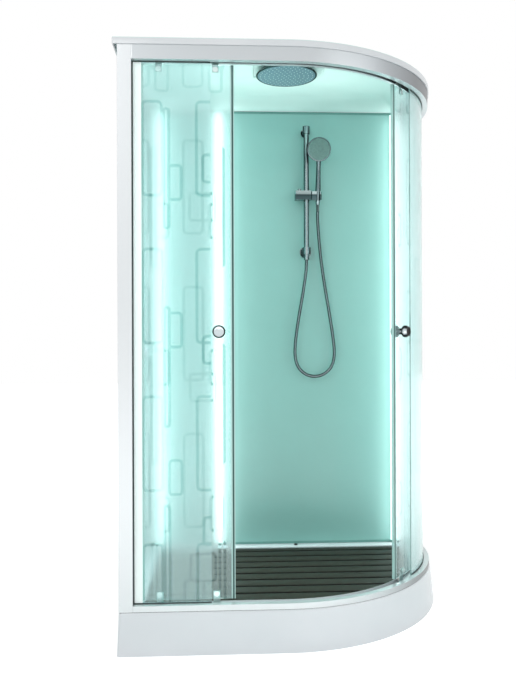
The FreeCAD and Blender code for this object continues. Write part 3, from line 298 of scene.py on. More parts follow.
@dataclass(frozen=True)
class Chrome:
    """Chrome plate with a painted reflection: a mirror whose turned-away sides are painted in the room's
    darker tones.

    name says what is plated and how; face, side and rim are the painted reflection's colours seen straight
    on, a little turned away and edge on.
    """

    name: str
    face: str
    side: str
    rim: str
    roughness: float

    def make(self) -> Material:
        """Build the material."""
        finish = Finish(self.name, Metallic=1.0)
        # Painted reflection: a ramp by facing, from the face's colour straight on to the rim's edge on.
        tone = finish.ramp(finish.facing(0.4), (0.0, self.face), (0.16, self.side), (0.42, self.rim))
        polish = finish.span(finish.noise(60), self.roughness - 0.01, self.roughness + 0.01, *CLOUD)
        finish.drive(Base_Color=tone, Roughness=polish)
        return finish.material


def slider_chrome() -> Material:
    """Zinc, die cast and chrome plated, with a painted reflection: pale of the ceiling above its middle, dark
    of the slats below.
    """
    finish = Finish("zinc_die_cast_chrome_plated", Metallic=1.0)
    tone = finish.ramp(finish.above(SLIDER_MIDDLE - 0.020, SLIDER_MIDDLE + 0.020), (0.0, "4E6264"),
                       (0.35, "42585A"), (0.55, "2E3F41"), (0.62, "93A5A6"), (0.95, "A7B8B8"))
    finish.drive(Base_Color=tone, Roughness=finish.span(finish.noise(60), 0.10, 0.13, *CLOUD))
    return finish.material


def aluminium() -> Material:
    """Aluminium, extruded and satin anodised: fine etched grain, and a painted reflection, darker where it
    turns away.
    """
    finish = Finish("aluminium_anodised_satin", Metallic=0.55)
    grain = finish.noise(0.8)
    # Painted reflection: the colour darkens as the face turns away from the eye.
    tone = finish.ramp(finish.facing(0.45), (0.0, "E2E6E8"), (0.3, "C8CCCF"), (0.6, "929497"),
                       (0.9, "636467"))
    # Upper and under faces lie flat to the light that the deck and the floor send back, and stay pale.
    level = finish.span(finish.math("ABSOLUTE", finish.axes("Normal")[2]), 0.0, 1.0, 0.5, 0.8)
    tone = finish.mix(level, tone, linear("D4D9DB"))
    tone = finish.mix(1.0, tone, finish.cloud(grain, "F8F8F8", "FFFFFF"), "MULTIPLY")
    # The top rail takes the grey of the shadow under the roof.
    x, _, z = finish.axes()
    rail = finish.math("MULTIPLY", finish.math("GREATER_THAN", z, RAIL_LOW),
                       finish.math("GREATER_THAN", x, RAIL_LEFT))
    finish.drive(Base_Color=finish.mix(rail, tone, linear("E9EBEC"), "MULTIPLY"),
                 Roughness=finish.span(grain, 0.28, 0.32, *CLOUD))
    return finish.material


def tray_acrylic() -> Material:
    """Cast acrylic, thermoformed: even cool white with a clear gloss, and painted shade, grey, in the hollow
    under the slats.
    """
    finish = Finish("acrylic_thermoformed_white")
    cloud = finish.noise(180)
    white = finish.cloud(cloud, "E0E6EA", "E4E9ED")
    # Painted shade: ambient occlusion darkens the hollows, grey under the slats.
    shade = finish.ramp(finish.hollow(60, 12), (0.3, "1C2222"), (0.65, "FFFFFF"))
    finish.drive(Base_Color=finish.mix(finish.above(0.068, 0.076), white, shade, "MULTIPLY"),
                 Roughness=finish.span(cloud, 0.17, 0.20))
    return finish.material


def nozzle_face() -> Material:
    """Silicone, moulded teal: soft satin, with the nozzles' tips paler than the plate that they stand on."""
    finish = Finish("silicone_moulded_teal", Roughness=0.46)
    plate = finish.above(NOZZLE_PLATE - 0.0006, NOZZLE_PLATE - 0.0002)
    finish.drive(Base_Color=finish.ramp(plate, (0.0, "C4D9DA"), (1.0, "5E7F88")))
    return finish.material


def roof_sheet() -> Material:
    """Acrylic sheet, thermoformed: a pale grey band round the skirt, and above the rail a painted mint, the
    light that the mint walls throw on the sheet.
    """
    finish = Finish("acrylic_thermoformed_painted_mint_light", Roughness=0.22)
    cloud = finish.noise(200)
    # Painted light: the mint above the band stands for the walls' mint light on the sheet.
    band, mint = finish.cloud(cloud, "DADFE2", "DFE3E6"), finish.cloud(cloud, "CFE9E5", "D5EDE9")
    finish.drive(Base_Color=finish.mix(finish.above(ROOF_EDGE - 0.0035, ROOF_EDGE - 0.003), band, mint))
    return finish.material


def wood() -> Material:
    """Hardwood slats, oiled dark: long grain along X with fine pores, and painted shade, almost black, down
    in the gaps.
    """
    finish = Finish("hardwood_oiled_dark", Specular_IOR_Level=0.3)
    grain = finish.noise(5, 4.0, (0.05, 1, 1))
    oiled = finish.ramp(grain, (0.25, "211F19"), (0.55, "2B2A22"), (0.8, "35332A"))
    # Painted shade: ambient occlusion turns the gaps almost black.
    gap = finish.ramp(finish.hollow(25, 8), (0.7, "000000"), (0.93, "FFFFFF"))
    finish.drive(Base_Color=finish.mix(1.0, oiled, gap, "MULTIPLY"), Roughness=finish.span(grain, 0.48, 0.58))
    finish.bump(grain, 0.1)
    return finish.material


def diffuser() -> Material:
    """Acrylic light cover, extruded milky: glows evenly over the strip with fine extrusion lines."""
    finish = Finish("acrylic_extruded_milky", Emission_Color=linear("E6FFFB"), Emission_Strength=0.85)
    lines = finish.noise(3, 1.0, LINES)
    finish.drive(Base_Color=finish.cloud(lines, "E4F6F3", "EAFAF7"), Roughness=finish.span(lines, 0.32, 0.38))
    return finish.material


def light() -> Material:
    """Light strip: a row of small lamps under silicone, brighter over each lamp."""
    finish = Finish("silicone_light_strip", Emission_Strength=4.0)
    rows = finish.add("TexWave", {"bands_direction": "Z"}, Vector=finish.place(), Scale=60.0)
    glow = finish.ramp(rows.outputs["Fac"], (0.2, "E8FBF8"), (0.8, "FFFFFF"))
    finish.drive(Base_Color=glow, Emission_Color=glow)
    return finish.material


def pane_length(finish: Finish) -> Tuple[Socket, Socket, Socket]:
    """Length along the panes, height and 1 on the doors' layer.

    Args:
        finish: the material under way.

    Returns:
        u = min(x, cx) + R atan2(max(x - cx, 0), cy - y), z, and whether the distance to the curve's middle is
        under R, the radius of the gap between the two layers of glass.
    """
    radius = CORNER_RADIUS - PANE_GAP
    x, y, z = finish.axes()
    over = finish.math("MAXIMUM", finish.math("SUBTRACT", x, ARC_CENTRE[0]), 0.0)
    depth = finish.math("SUBTRACT", ARC_CENTRE[1], y)
    arc = finish.math("MULTIPLY", finish.math("ARCTAN2", over, depth), radius)
    u = finish.math("ADD", finish.math("MINIMUM", x, ARC_CENTRE[0]), arc)
    return u, z, finish.math("LESS_THAN", finish.distance(over, depth), radius)


def seal() -> Material:
    """PVC seal, extruded translucent: pale, with painted shade that darkens it as it turns away, fine lines
    along it, a dark lip at each door's leading edge.
    """
    finish = Finish("pvc_extruded_translucent")
    # Painted shade: darker as the seal turns away from the eye.
    pale = finish.ramp(finish.facing(0.5), (0.0, "CDEEEA"), (0.55, "A5D3CD"), (0.85, "2F5F5B"))
    u = pane_length(finish)[0]
    off = [finish.math("ABSOLUTE", finish.math("SUBTRACT", u, middle)) for middle in LIPS]
    lip = finish.math("LESS_THAN", finish.math("MINIMUM", *off), LIP_HALF)
    finish.drive(Base_Color=finish.mix(lip, pale, linear("2C5754")), Alpha=finish.span(lip, 0.72, 1.0),
                 Roughness=finish.span(finish.noise(2, 1.0, LINES), 0.27, 0.33))
    return finish.material


@dataclass(frozen=True)
class Frost:
    """Safety glass, satin printed, with clear lines left in the print.

    The lines follow rounded rectangles that repeat over the pane. Each family has a middle, half sizes, a
    corner radius and a pitch in both directions, in millimetres. Lengths along the pane are taken round the
    curve, and the doors' panes take the layout moved by shift, so that lines of two panes seldom meet. Left
    of border the print is dense, tinted whiter and with a stronger painted glow. tint, passing and the
    painted glow's strength hold a value on the print and one on the lines, roughness the two ends of the
    print's grain;
    line and blur are a line's width and its edge in millimetres.
    """

    tint: Tuple[str, str] = ("EDF5F6", "D6E9E9")
    painted_glow_colour: str = "8CC9C6"
    passing: Flat = (0.92, 0.96)
    painted_glow: Flat = (0.055, 0.03)
    roughness: Flat = (0.16, 0.18)
    line_roughness: float = 0.2
    border: float = -0.547
    border_painted_light_tint: str = "F8FFFE"
    border_painted_glow: float = 0.16
    border_density: float = 0.5
    families: Tuple[Tuple[float, ...], ...] = (
        (60, 210, 34, 165, 16, 190, 520), (140, 90, 22, 60, 12, 190, 520), (92, 420, 44, 48, 14, 380, 640),
        (20, 300, 9, 210, 9, 240, 700),
    )
    line: float = 10.0
    blur: float = 0.8
    shift: Flat = (47.0, 133.0)

    def outline(self, finish: Finish, u: Socket, v: Socket, family: Sequence[float]) -> Socket:
        """1 near a rounded rectangle's outline.

        Args:
            finish: the material under way.
            u: length along the pane.
            v: height.
            family: middle, half sizes, corner radius and pitches, in millimetres.

        Returns:
            Mask of |length(max(|p - c| - h + r, 0)) - r| under half a line, p wrapped to the pitches.
        """
        mid_u, mid_v, half_u, half_v, radius, pitch_u, pitch_v = (value * MM for value in family)
        out = []
        for axis, middle, half, pitch in ((u, mid_u, half_u, pitch_u), (v, mid_v, half_v, pitch_v)):
            tile = finish.math("WRAP", finish.math("SUBTRACT", axis, middle), pitch / 2, -pitch / 2)
            beyond = finish.math("SUBTRACT", finish.math("ABSOLUTE", tile), half - radius)
            out.append(finish.math("MAXIMUM", beyond, 0.0))
        off = finish.math("ABSOLUTE", finish.math("SUBTRACT", finish.distance(*out), radius))
        return finish.span(off, 1.0, 0.0, (self.line / 2 - self.blur) * MM, (self.line / 2 + self.blur) * MM)

    def make(self) -> Material:
        """Build the glass: rough where printed, smooth on the lines, clear to light on its way through."""
        finish = Finish("safety_glass_satin_print", IOR=1.45)
        u, v, door = pane_length(finish)
        u, v = (finish.math("ADD", axis, finish.math("MULTIPLY", door, move * MM))
                for axis, move in zip((u, v), self.shift))
        clear = self.outline(finish, u, v, self.families[0])
        for family in self.families[1:]:
            clear = finish.math("MAXIMUM", clear, self.outline(finish, u, v, family))
        border = finish.math("LESS_THAN", u, self.border)
        dense = finish.math("MULTIPLY", border, self.border_density)
        printed = finish.span(finish.noise(1.5, 1.0), *self.roughness, *CLOUD)
        rough = finish.math("MULTIPLY", printed, finish.span(clear, 1.0, self.line_roughness))
        tint = finish.ramp(clear, *zip((0.0, 1.0), self.tint))
        # Painted glow: emission on the print stands for the cabin's own light that it scatters towards the
        # room, white and stronger left of the border.
        glow = finish.math("MAXIMUM", finish.span(clear, *self.painted_glow),
                           finish.math("MULTIPLY", border, self.border_painted_glow))
        # Painted light: left of the border the glass is tinted whiter.
        finish.drive(Base_Color=finish.mix(border, tint, linear(self.border_painted_light_tint)),
                     Roughness=finish.math("MAXIMUM", rough, dense),
                     Transmission_Weight=finish.math("SUBTRACT", finish.span(clear, *self.passing), dense),
                     Emission_Color=finish.mix(border, linear(self.painted_glow_colour), linear("FFFFFF")),
                     Emission_Strength=glow)
        path = finish.add("LightPath").outputs
        lit = finish.math("MAXIMUM", path["Is Shadow Ray"], path["Is Diffuse Ray"])
        through = finish.add("BsdfTransparent", Color=linear("EFFAF8"))
        mixed = finish.add("MixShader", Fac=lit, in1=finish.shader.outputs[0], in2=through.outputs[0])
        finish.plug(mixed.outputs[0], finish.tree.nodes["Material Output"].inputs["Surface"])
        return finish.material


FINISHES: Dict[str, Callable[[], Material]] = {
    # Steel tube, powder coated: light grey with fine orange peel.
    "painted_steel": Plain("steel_powder_coated_grey", "8F9395", "979B9D", (0.46, 0.54), 0, 2, 0.02).make,
    # Steel, zinc plated: pale grey metal with a cloudy gloss.
    "zinc_steel": Plain("steel_zinc_plated", "BEC2C5", "CDD0D2", (0.30, 0.40), 1, 8).make,
    # Polypropylene, moulded: dull grey.
    "grey_polypropylene": Plain("polypropylene_moulded_grey", "8F9496", "999EA0", (0.46, 0.54), 0, 6,
                                0.01).make,
    # Brass, nickel plated: warmer and duller than chrome.
    "brass_nickel": Plain("brass_nickel_plated", "C4BB9C", "CCC4A8", (0.23, 0.29), 1, 15).make,
    # Polyamide, moulded black.
    "black_plastic": Plain("polyamide_moulded_black", "121415", "161819", (0.40, 0.45), 0, 4).make,
    # Rubber, moulded: dull black with a fine skin.
    "black_rubber": Plain("rubber_moulded_black", "151616", "1A1B1B", (0.72, 0.78), 0, 2, 0.02).make,
    # Acrylic faced panel, mint: glossy with an even colour.
    "mint_panel": Plain("wall_panel_acrylic_mint", "9BC9C4", "9FCCC7", (0.17, 0.20), 0, 300).make,
    # Silicone, moulded grey.
    "grey_silicone": Plain("silicone_moulded_grey", "4C5A5A", "566464", (0.47, 0.53), 0, 4).make,
    # Silicone, moulded grey green: the handset's face.
    "face_silicone": Plain("silicone_moulded_grey_green", "6C8884", "7B9793", (0.47, 0.53), 0, 7).make,
    # EPDM, extruded dark.
    "dark_gasket": Plain("epdm_extruded_dark", "2C3838", "323F3F", (0.57, 0.63), 0, 10).make,
    # Polyamide, moulded white.
    "white_nylon": Plain("polyamide_moulded_white", "DEDEDA", "E4E4E0", (0.37, 0.43), 0, 4).make,
    # Aluminium, extruded and lacquered mint: the wall channels; the dark mint also paints the shade in the
    # joints with the ceiling and the deck.
    "mint_lacquer_joint_shade": Plain("aluminium_lacquered_mint_joint_shade", "6F9E98", "76A59F", (0.30, 0.36), 0.2, 6).make,
    # Brass, chrome plated: fittings, with painted reflection; painted lighter on the mixer, and polished,
    # with a paler painted face, on the doors' knobs.
    "chrome_plate": Chrome("brass_chrome_plated", "A9B5B7", "5C686B", "20282A", 0.08).make,
    "mixer_chrome": Chrome("brass_chrome_plated_painted_lighter", "C2CDD0", "9AA7AA", "566265", 0.08).make,
    "knob_chrome": Chrome("brass_chrome_polished", "D6E0E4", "20282A", "0C1012", 0.06).make,
    # ABS, chrome plated: the handset.
    "chromed_plastic": Chrome("abs_chrome_plated", "7C8A8D", "4A5659", "242C2E", 0.11).make,
    # Plastic hose, metallised.
    "silver_hose": Chrome("hose_metallised", "788688", "3C484A", "1A2224", 0.22).make,
    # Zinc, die cast and satin plated: the roller brackets.
    "cast_bracket": Chrome("zinc_die_cast_satin", "E6F4F2", "D2E4E2", "A9BDBB", 0.30).make,
    "slider_chrome": slider_chrome,
    "satin_aluminium": aluminium,
    "white_acrylic": tray_acrylic,
    "teal_silicone": nozzle_face,
    "mint_acrylic": roof_sheet,
    "dark_hardwood": wood,
    "light_diffuser": diffuser,
    "light_strip": light,
    "clear_seal": seal,
    "frosted_glass": Frost().make,
}

# Nodes that wear another finish than their slot's.
OWN_LOOK: Dict[str, str] = {
    "left_roller_brackets": "cast_bracket", "right_roller_brackets": "cast_bracket",
    "rail_slider": "slider_chrome", "handset_holder": "slider_chrome", "mixer_body": "mixer_chrome",
    "temperature_handle": "mixer_chrome", "diverter_handle": "mixer_chrome", "wall_channels": "mint_lacquer_joint_shade",
}


# ---- Studio ---------------------------------------------------------------------------------------

@dataclass
class Studio:
    """Camera, lamps, pale floor and white background."""

    eye: Point = (-0.2612, -2.9462, 1.1079)
    yaw: float = 0.0479
    roll: float = 0.0033
    lens: float = 37.84
    sensor: float = 36.0
    shift_y: float = -0.0116
    world_light: float = 0.55
    floor_reach: float = 14.0
    strip_power: float = 7.0

    def camera(self) -> None:
        """Level camera at the photograph's angle."""
        data = bpy.data.cameras.new("camera")
        data.lens, data.sensor_width, data.shift_y = self.lens, self.sensor, self.shift_y
        item = link("camera", data)
        item.location = self.eye
        item.rotation_euler = (math.pi / 2, self.roll, -self.yaw)
        bpy.context.scene.camera = item

    def lamp(self, name: str, at: Point, to: Point, size: Flat, power: float, seen: bool = True,
             spread: float = 180.0) -> None:
        """Area lamp that looks at a point.

        Args:
            name: name of the lamp.
            at: its place.
            to: the point that it looks at.
            size: its width and height.
            power: its power in watts.
            seen: reflections show it.
            spread: full angle of its beam in degrees.
        """
        data = bpy.data.lights.new(name, "AREA")
        data.shape = "RECTANGLE"
        data.size, data.size_y = size
        data.energy = power
        data.spread = math.radians(spread)
        item = link(name, data)
        item.location = at
        item.rotation_euler = (Vector(to) - Vector(at)).to_track_quat("-Z", "Y").to_euler()
        item.visible_camera = False
        item.visible_glossy = seen
        item.visible_transmission = False

    def glow(self, name: str, at: Point, to: Point, size: Flat, share: float, spread: float = 180.0) -> None:
        """Unseen lamp with a share of a light strip's power."""
        self.lamp(name, at, to, size, self.strip_power * share, False, spread)

    def background(self) -> None:
        """Plain soft world: white to the eye and to gloss and clear pieces, dimmer as a light."""
        world = bpy.data.worlds.new("studio")
        world.use_nodes = True
        nodes = Nodes(world.node_tree)
        back = nodes.tree.nodes["Background"].inputs
        nodes.plug(linear("FFFFFF"), back["Color"])
        nodes.plug(nodes.span(nodes.seen(), self.world_light, 1.0), back["Strength"])
        bpy.context.scene.world = world

    def floor(self) -> None:
        """Pale floor that keeps the object's shadow and meets the white background."""
        mesh = bpy.data.meshes.new("studio_floor")
        far = self.floor_reach
        mesh.from_pydata([(-far, -far, 0), (far, -far, 0), (far, far, 0), (-far, far, 0)], [], [(0, 1, 2, 3)])
        item = link("studio_floor", mesh)
        # Paint, rolled: the eye, gloss and clear pieces see it brighter, up to white away from the object.
        finish = Finish("studio_floor_paint", Roughness=0.9, Specular_IOR_Level=0.1,
                        Emission_Color=linear("FFFFFF"))
        distance = finish.add("VectorMath", {"operation": "LENGTH"}, in0=finish.place()).outputs["Value"]
        glow = finish.math("MULTIPLY", finish.seen(), finish.span(distance, 0.45, 1.0, 0.9, 2.6))
        finish.drive(Base_Color=finish.cloud(finish.noise(2000), "F4F5F5", "F6F7F7"), Emission_Strength=glow)
        mesh.materials.append(finish.material)

    def build(self) -> None:
        """Set up the studio."""
        self.camera()
        self.background()
        self.floor()
        self.lamp("key", (-2.6, -3.4, 3.4), (0, 0, 1.0), (2.2, 2.2), 55)
        self.lamp("fill", (3.0, -2.6, 2.0), (0, 0, 1.0), (2.4, 2.4), 35)
        # Light of the three strips on the rear wall: into the room, and along the walls beside them.
        for name, x, aside, share in (("left", -0.5565, 0.35, 0.20), ("middle", -0.2855, 0.35, 0.18),
                                      ("right", 0.5375, -0.35, 0.14)):
            self.glow("strip_glow_" + name, (x, 0.375, 1.08), (x * 0.3, -0.3, 1.08), (0.05, 1.5), 1.0, 150.0)
            self.glow("wall_glow_" + name, (x, 0.352, 1.15), (x + aside, 0.430, 1.15), (0.03, 1.95), share)
        self.glow("ceiling_glow", (0.0, 0.0, 0.9), (0.0, 0.0, 2.2), (0.6, 0.4), 0.045, 50.0)
        # Light of the outer strips on the left wall and on the right post.
        self.glow("left_glow", (-0.48, 0.05, 1.15), (-0.62, 0.05, 1.15), (0.5, 1.8), 0.13, 110.0)
        self.glow("right_glow", (0.585, 0.350, 1.15), (0.585, 0.430, 1.15), (0.03, 1.95), 0.08)
        bpy.context.scene.view_settings.view_transform = "Standard"


# ---- Surfaces from arrays --------------------------------------------------------------------------

def merge(parts: Sequence[Shape]) -> Shape:
    """Pairs of points and quads joined into one pair, with the quads' indices moved along."""
    starts = np.cumsum([0] + [len(points) for points, _ in parts[:-1]])
    return (np.concatenate([points for points, _ in parts]),
            np.concatenate([faces + start for (_, faces), start in zip(parts, starts)]))


def patch(grid: Array, along: bool = False) -> Shape:
    """Quads over a grid of points: row i to i + 1, column j to j + 1, and the last column to the first.

    Args:
        grid: rows by columns by 3.
        along: the last row joins the first too.

    Returns:
        Points and quads.
    """
    rows, columns = grid.shape[:2]
    i, j = np.meshgrid(np.arange(rows if along else rows - 1), np.arange(columns), indexing="ij")
    k, m = (i + 1) % rows, (j + 1) % columns
    faces = np.stack([i * columns + j, i * columns + m, k * columns + m, k * columns + j], axis=-1)
    return grid.reshape(-1, 3), faces.reshape(-1, 4)


def closed(grid: Array) -> Array:
    """Grid with its first and last row drawn together to their middles, which closes both ends."""
    middle = [np.repeat(row.mean(axis=0)[None], grid.shape[1], axis=0) for row in (grid[0], grid[-1])]
    return np.concatenate([middle[0][None], grid, middle[1][None]])


def turn(profile: Union[Array, Sequence[Flat]], steps: int) -> Array:
    """Lathe: radius r(v) and height h(v) give (r cos u, r sin u, h) for u round the circle.

    Args:
        profile: rows of radius and height.
        steps: columns round the axis.

    Returns:
        Grid of points about the Z axis.
    """
    u = np.linspace(0, 2 * np.pi, steps, endpoint=False)
    r, h = np.asarray(profile, float).T
    heights = np.repeat(h[:, None], steps, 1)
    return np.stack([r[:, None] * np.cos(u), r[:, None] * np.sin(u), heights], axis=-1)


def rounded(corners: Sequence[Flat], radius: float, steps: int = 4, loop: bool = False) -> Array:
    """Polyline with each inner corner replaced by a quadratic curve that starts and ends radius away from it.

    Args:
        corners: the polyline's points.
        radius: length cut from each side of a corner, at most 0.45 of the side.
        steps: points per corner.
        loop: the polyline is closed.

    Returns:
        The new points.
    """
    p = np.asarray(corners, float)
    before, after = np.roll(p, 1, axis=0) - p, np.roll(p, -1, axis=0) - p
    reach = [np.minimum(radius, 0.45 * np.linalg.norm(side, axis=1)) for side in (before, after)]
    unit = [side / np.maximum(np.linalg.norm(side, axis=1), 1e-12)[:, None] for side in (before, after)]
    start, end = p + unit[0] * reach[0][:, None], p + unit[1] * reach[1][:, None]
    w = np.linspace(0, 1, steps)[None, :, None]
    curve = (1 - w) ** 2 * start[:, None] + 2 * w * (1 - w) * p[:, None] + w ** 2 * end[:, None]
    if loop:
        return curve.reshape(-1, p.shape[1])
    return np.concatenate([p[:1], curve[1:-1].reshape(-1, p.shape[1]), p[-1:]])


def frame_to(grid: Array, origin: Point, along: Point) -> Array:
    """Carry a grid made about Z to an origin, with Z along a direction.

    Args:
        grid: points with a last axis of 3.
        origin: where the grid's zero goes.
        along: direction of the grid's Z, anything but the X axis, to which the grid's X leans.

    Returns:
        The grid in the frame's axes.
    """
    z = np.asarray(along, float)
    z = z / np.linalg.norm(z)
    x = np.array([1.0, 0.0, 0.0]) - z[0] * z
    x = x / np.linalg.norm(x)
    return np.asarray(origin, float) + grid @ np.stack([x, np.cross(z, x), z])


def plan(inset: float, left: float, back: float, soft: float, height: float) -> Array:
    """Row round the cabin: front, quarter circle of radius R - inset, right side, back and left side.

    Args:
        inset: distance in from the tray's outline at the front and the right.
        left: X of the left side.
        back: Y of the back.
        soft: radius of the three square corners.
        height: Z of the row.

    Returns:
        Points anticlockwise from above, the same number for every call.
    """
    radius = CORNER_RADIUS - inset
    front, right = ARC_CENTRE[1] - radius, ARC_CENTRE[0] + radius

    def quarter(x: float, y: float, size: float, start: float, steps: int = 5) -> Array:
        """Quarter circle about x and y."""
        angle = np.radians(np.linspace(start, start + 90, steps))
        return np.stack([x + size * np.cos(angle), y + size * np.sin(angle), np.full(steps, height)], axis=-1)

    return np.concatenate([
        quarter(left + soft, front + soft, soft, 180), quarter(*ARC_CENTRE, radius, -90, 65),
        quarter(right - soft, back - soft, soft, 0), quarter(left + soft, back - soft, soft, 90),
    ])


def ring(row: Array, centre: Flat, radius: float, height: float) -> Array:
    """Circle at a height whose points lie at a row's angles about its centre.

    Args:
        row: points that give the angles.
        centre: the circle's middle.
        radius: its radius.
        height: its Z.

    Returns:
        As many points as the row has.
    """
    way = row[:, :2] - np.asarray(centre)
    circle = np.asarray(centre) + radius * way / np.linalg.norm(way, axis=1)[:, None]
    return np.concatenate([circle, np.full((len(row), 1), height)], axis=1)


def spots(rings: Sequence[Tuple[int, float]]) -> Iterator[Flat]:
    """Places of nozzles on rings: d cos a and d sin a for even steps of a.

    Args:
        rings: count of nozzles and distance from the middle, for each ring.

    Returns:
        The places one by one.
    """
    for count, distance in rings:
        for angle in np.arange(count) * 2 * math.pi / count:
            yield distance * math.cos(angle), distance * math.sin(angle)


def bend(radius: float, start: float, end: float, steps: int) -> Iterator[Flat]:
    """Rounded edge from one angle to another in degrees: how far across and how far down each point lies."""
    for angle in np.radians(np.linspace(start, end, steps)):
        yield radius * (1 - math.cos(angle)), radius * (1 - math.sin(angle))


def solid(name: str, shape: Shape) -> bpy.types.Mesh:
    """Mesh of points and quads, with doubles merged and faces outwards.

    Args:
        name: name of the mesh.
        shape: points and quads.

    Returns:
        The mesh.
    """
    points, faces = shape
    mesh = bpy.data.meshes.new(name)
    mesh.from_pydata(points.tolist(), [], faces.tolist())
    work = bmesh.new()
    work.from_mesh(mesh)
    bmesh.ops.remove_doubles(work, verts=work.verts, dist=DOUBLE)
    bmesh.ops.recalc_face_normals(work, faces=work.faces)
    work.to_mesh(mesh)
    work.free()
    return mesh


class Shade(Enum):
    """How a piece's faces are shaded."""

    SMOOTH = "smooth"
    EDGED = "edged"


@dataclass
class Workshop:
    """Makes pieces, gives them their finish and joins them to the frame.

    Edges stay sharp from the angle sharp on a piece, and get a bevel from the angle bevel on a node.
    """

    frame: Dict[str, object]
    materials: Dict[str, Material]
    sharp: float = math.radians(38)
    bevel: float = math.radians(40)
    weld: float = 1e-5

    def piece(self, name: str, shape: Shape, slot: str, body: Optional[str], replaces: Sequence[str],
              shade: Shade = Shade.EDGED, look: str = "") -> bpy.types.Object:
        """Piece made of points and quads.

        Args:
            name: name of the piece.
            shape: points and quads.
            slot: material slot of the record.
            body: body that it moves with, or None for a piece that no body carries.
            replaces: nodes that it stands for.
            shade: smooth all over, or smooth with sharp edges kept.
            look: material that it wears, where that isn't the slot's own.

        Returns:
            The piece.
        """
        mesh = solid(name, shape)
        mesh.polygons.foreach_set("use_smooth", np.ones(len(mesh.polygons), bool))
        if shade is Shade.EDGED:
            mesh.set_sharp_from_angle(angle=self.sharp)
        mesh.materials.append(self.materials[look or slot])
        item = link(name, mesh)
        if body:
            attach(item, body)
        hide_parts(*replaces)
        LOG.info("%s: %d faces", name, len(mesh.polygons))
        return item

    def notch(self, item: bpy.types.Object, low: Point, high: Point) -> None:
        """Cut a box out of a piece and keep the result as its mesh.

        Args:
            item: the piece.
            low: the box's lowest corner.
            high: its highest corner.
        """
        (a, b, c), (d, e, f) = low, high
        ends = np.array([[(a, b, z), (d, b, z), (d, e, z), (a, e, z)] for z in (c, f)])
        mesh = solid("notch", patch(closed(ends)))
        tool = link("notch", mesh)
        cut = item.modifiers.new("notch", "BOOLEAN")
        cut.operation, cut.solver, cut.object = "DIFFERENCE", "EXACT", tool
        bpy.context.view_layer.update()
        result = bpy.data.meshes.new_from_object(item.evaluated_get(bpy.context.evaluated_depsgraph_get()))
        item.modifiers.clear()
        item.data = result
        result.name = item.name
        bpy.data.objects.remove(tool)
        bpy.data.meshes.remove(mesh)

    def soften(self, node: str, width: float) -> None:
        """Bevel the sharp edges of a carried-over node.

        Args:
            node: name of the node.
            width: width of the bevel in metres.
        """
        item = self.frame["nodes"][node]
        weld = item.modifiers.new("weld", "WELD")
        weld.merge_threshold = self.weld
        bevel = item.modifiers.new("bevel", "BEVEL")
        bevel.width, bevel.segments = width, 2
        bevel.limit_method, bevel.angle_limit = "ANGLE", self.bevel
        bevel.harden_normals = False
        normal = item.modifiers.new("normal", "WEIGHTED_NORMAL")
        normal.keep_sharp = True


# ---- Sub-assemblies --------------------------------------------------------------------------------

@dataclass
class Tray:
    """Shower tray: flared skirt, flat deck and sunken bowl with a hole for the drain.

    edge is the radius of its outer edge and rim that of the bowl's; skirt and wall are thicknesses.
    """

    left: float = -HALF_WIDTH + 0.012
    flare: float = 0.014
    side_flare: float = 0.004
    edge: float = 0.008
    rim: float = 0.006
    height: float = 0.147
    deck: float = 0.095
    deck_back: float = 0.082
    bowl: float = 0.078
    wall: float = 0.007
    skirt: float = 0.008
    drain: Flat = (0.0, 0.260)
    drain_radius: float = 0.045
    waste_half: float = 0.035
    waste: float = 0.065

    def row(self, share: float, inset: float, height: float, soft: float) -> Array:
        """Row of the skirt and deck with soft corners, at a share of the skirt's lean and an inset beyond."""
        left = self.left + share * self.side_flare + inset
        return plan(share * self.flare + inset, left, HALF_DEPTH, soft, height)

    def bowl_row(self, inset: float, height: float, soft: float) -> Array:
        """Row of the bowl with soft corners, set in from the deck's inner edge."""
        left, back = -HALF_WIDTH + self.deck + inset, HALF_DEPTH - self.deck_back - inset
        return plan(self.deck + inset, left, back, soft, height)

    def build(self, shop: Workshop) -> None:
        """Rows run from the drain's hole up the bowl, over the deck, down the skirt and back underneath.

        Args:
            shop: makes the piece.
        """
        top, low, wall, skirt = self.height, self.bowl, self.wall, self.skirt
        last = self.bowl_row(0.004, low, 0.030)
        rows = [ring(last, self.drain, self.drain_radius, low), last]
        rows += [self.bowl_row(0.001, low + 0.002, 0.032), self.bowl_row(0.0, low + 0.006, 0.034)]
        rows += [self.bowl_row(-across, top - down, 0.036) for across, down in bend(self.rim, 0, 90, 6)]
        rows += [self.row(1.0, across, top - down, 0.012) for across, down in bend(self.edge, 90, 0, 7)]
        rows.append(self.row(0.0, 0.0, 0.0, 0.010))
        left, back = self.left + skirt, HALF_DEPTH - skirt
        rows += [plan(skirt, left, back, 0.006, 0.0),
                 plan(skirt + self.flare, left + self.side_flare, back, 0.006, top - wall),
                 self.bowl_row(-wall, top - wall, 0.040), self.bowl_row(-wall, low - wall, 0.036)]
        rows.append(ring(rows[-1], self.drain, self.drain_radius, low - wall))
        tray = shop.piece("tray_moulding", patch(np.stack(rows), along=True), "white_acrylic", "cabin",
                          ["tray_basin"])
        shop.notch(tray, (-self.waste_half, HALF_DEPTH - 0.03, -0.01),
                   (self.waste_half, HALF_DEPTH + 0.01, self.waste))


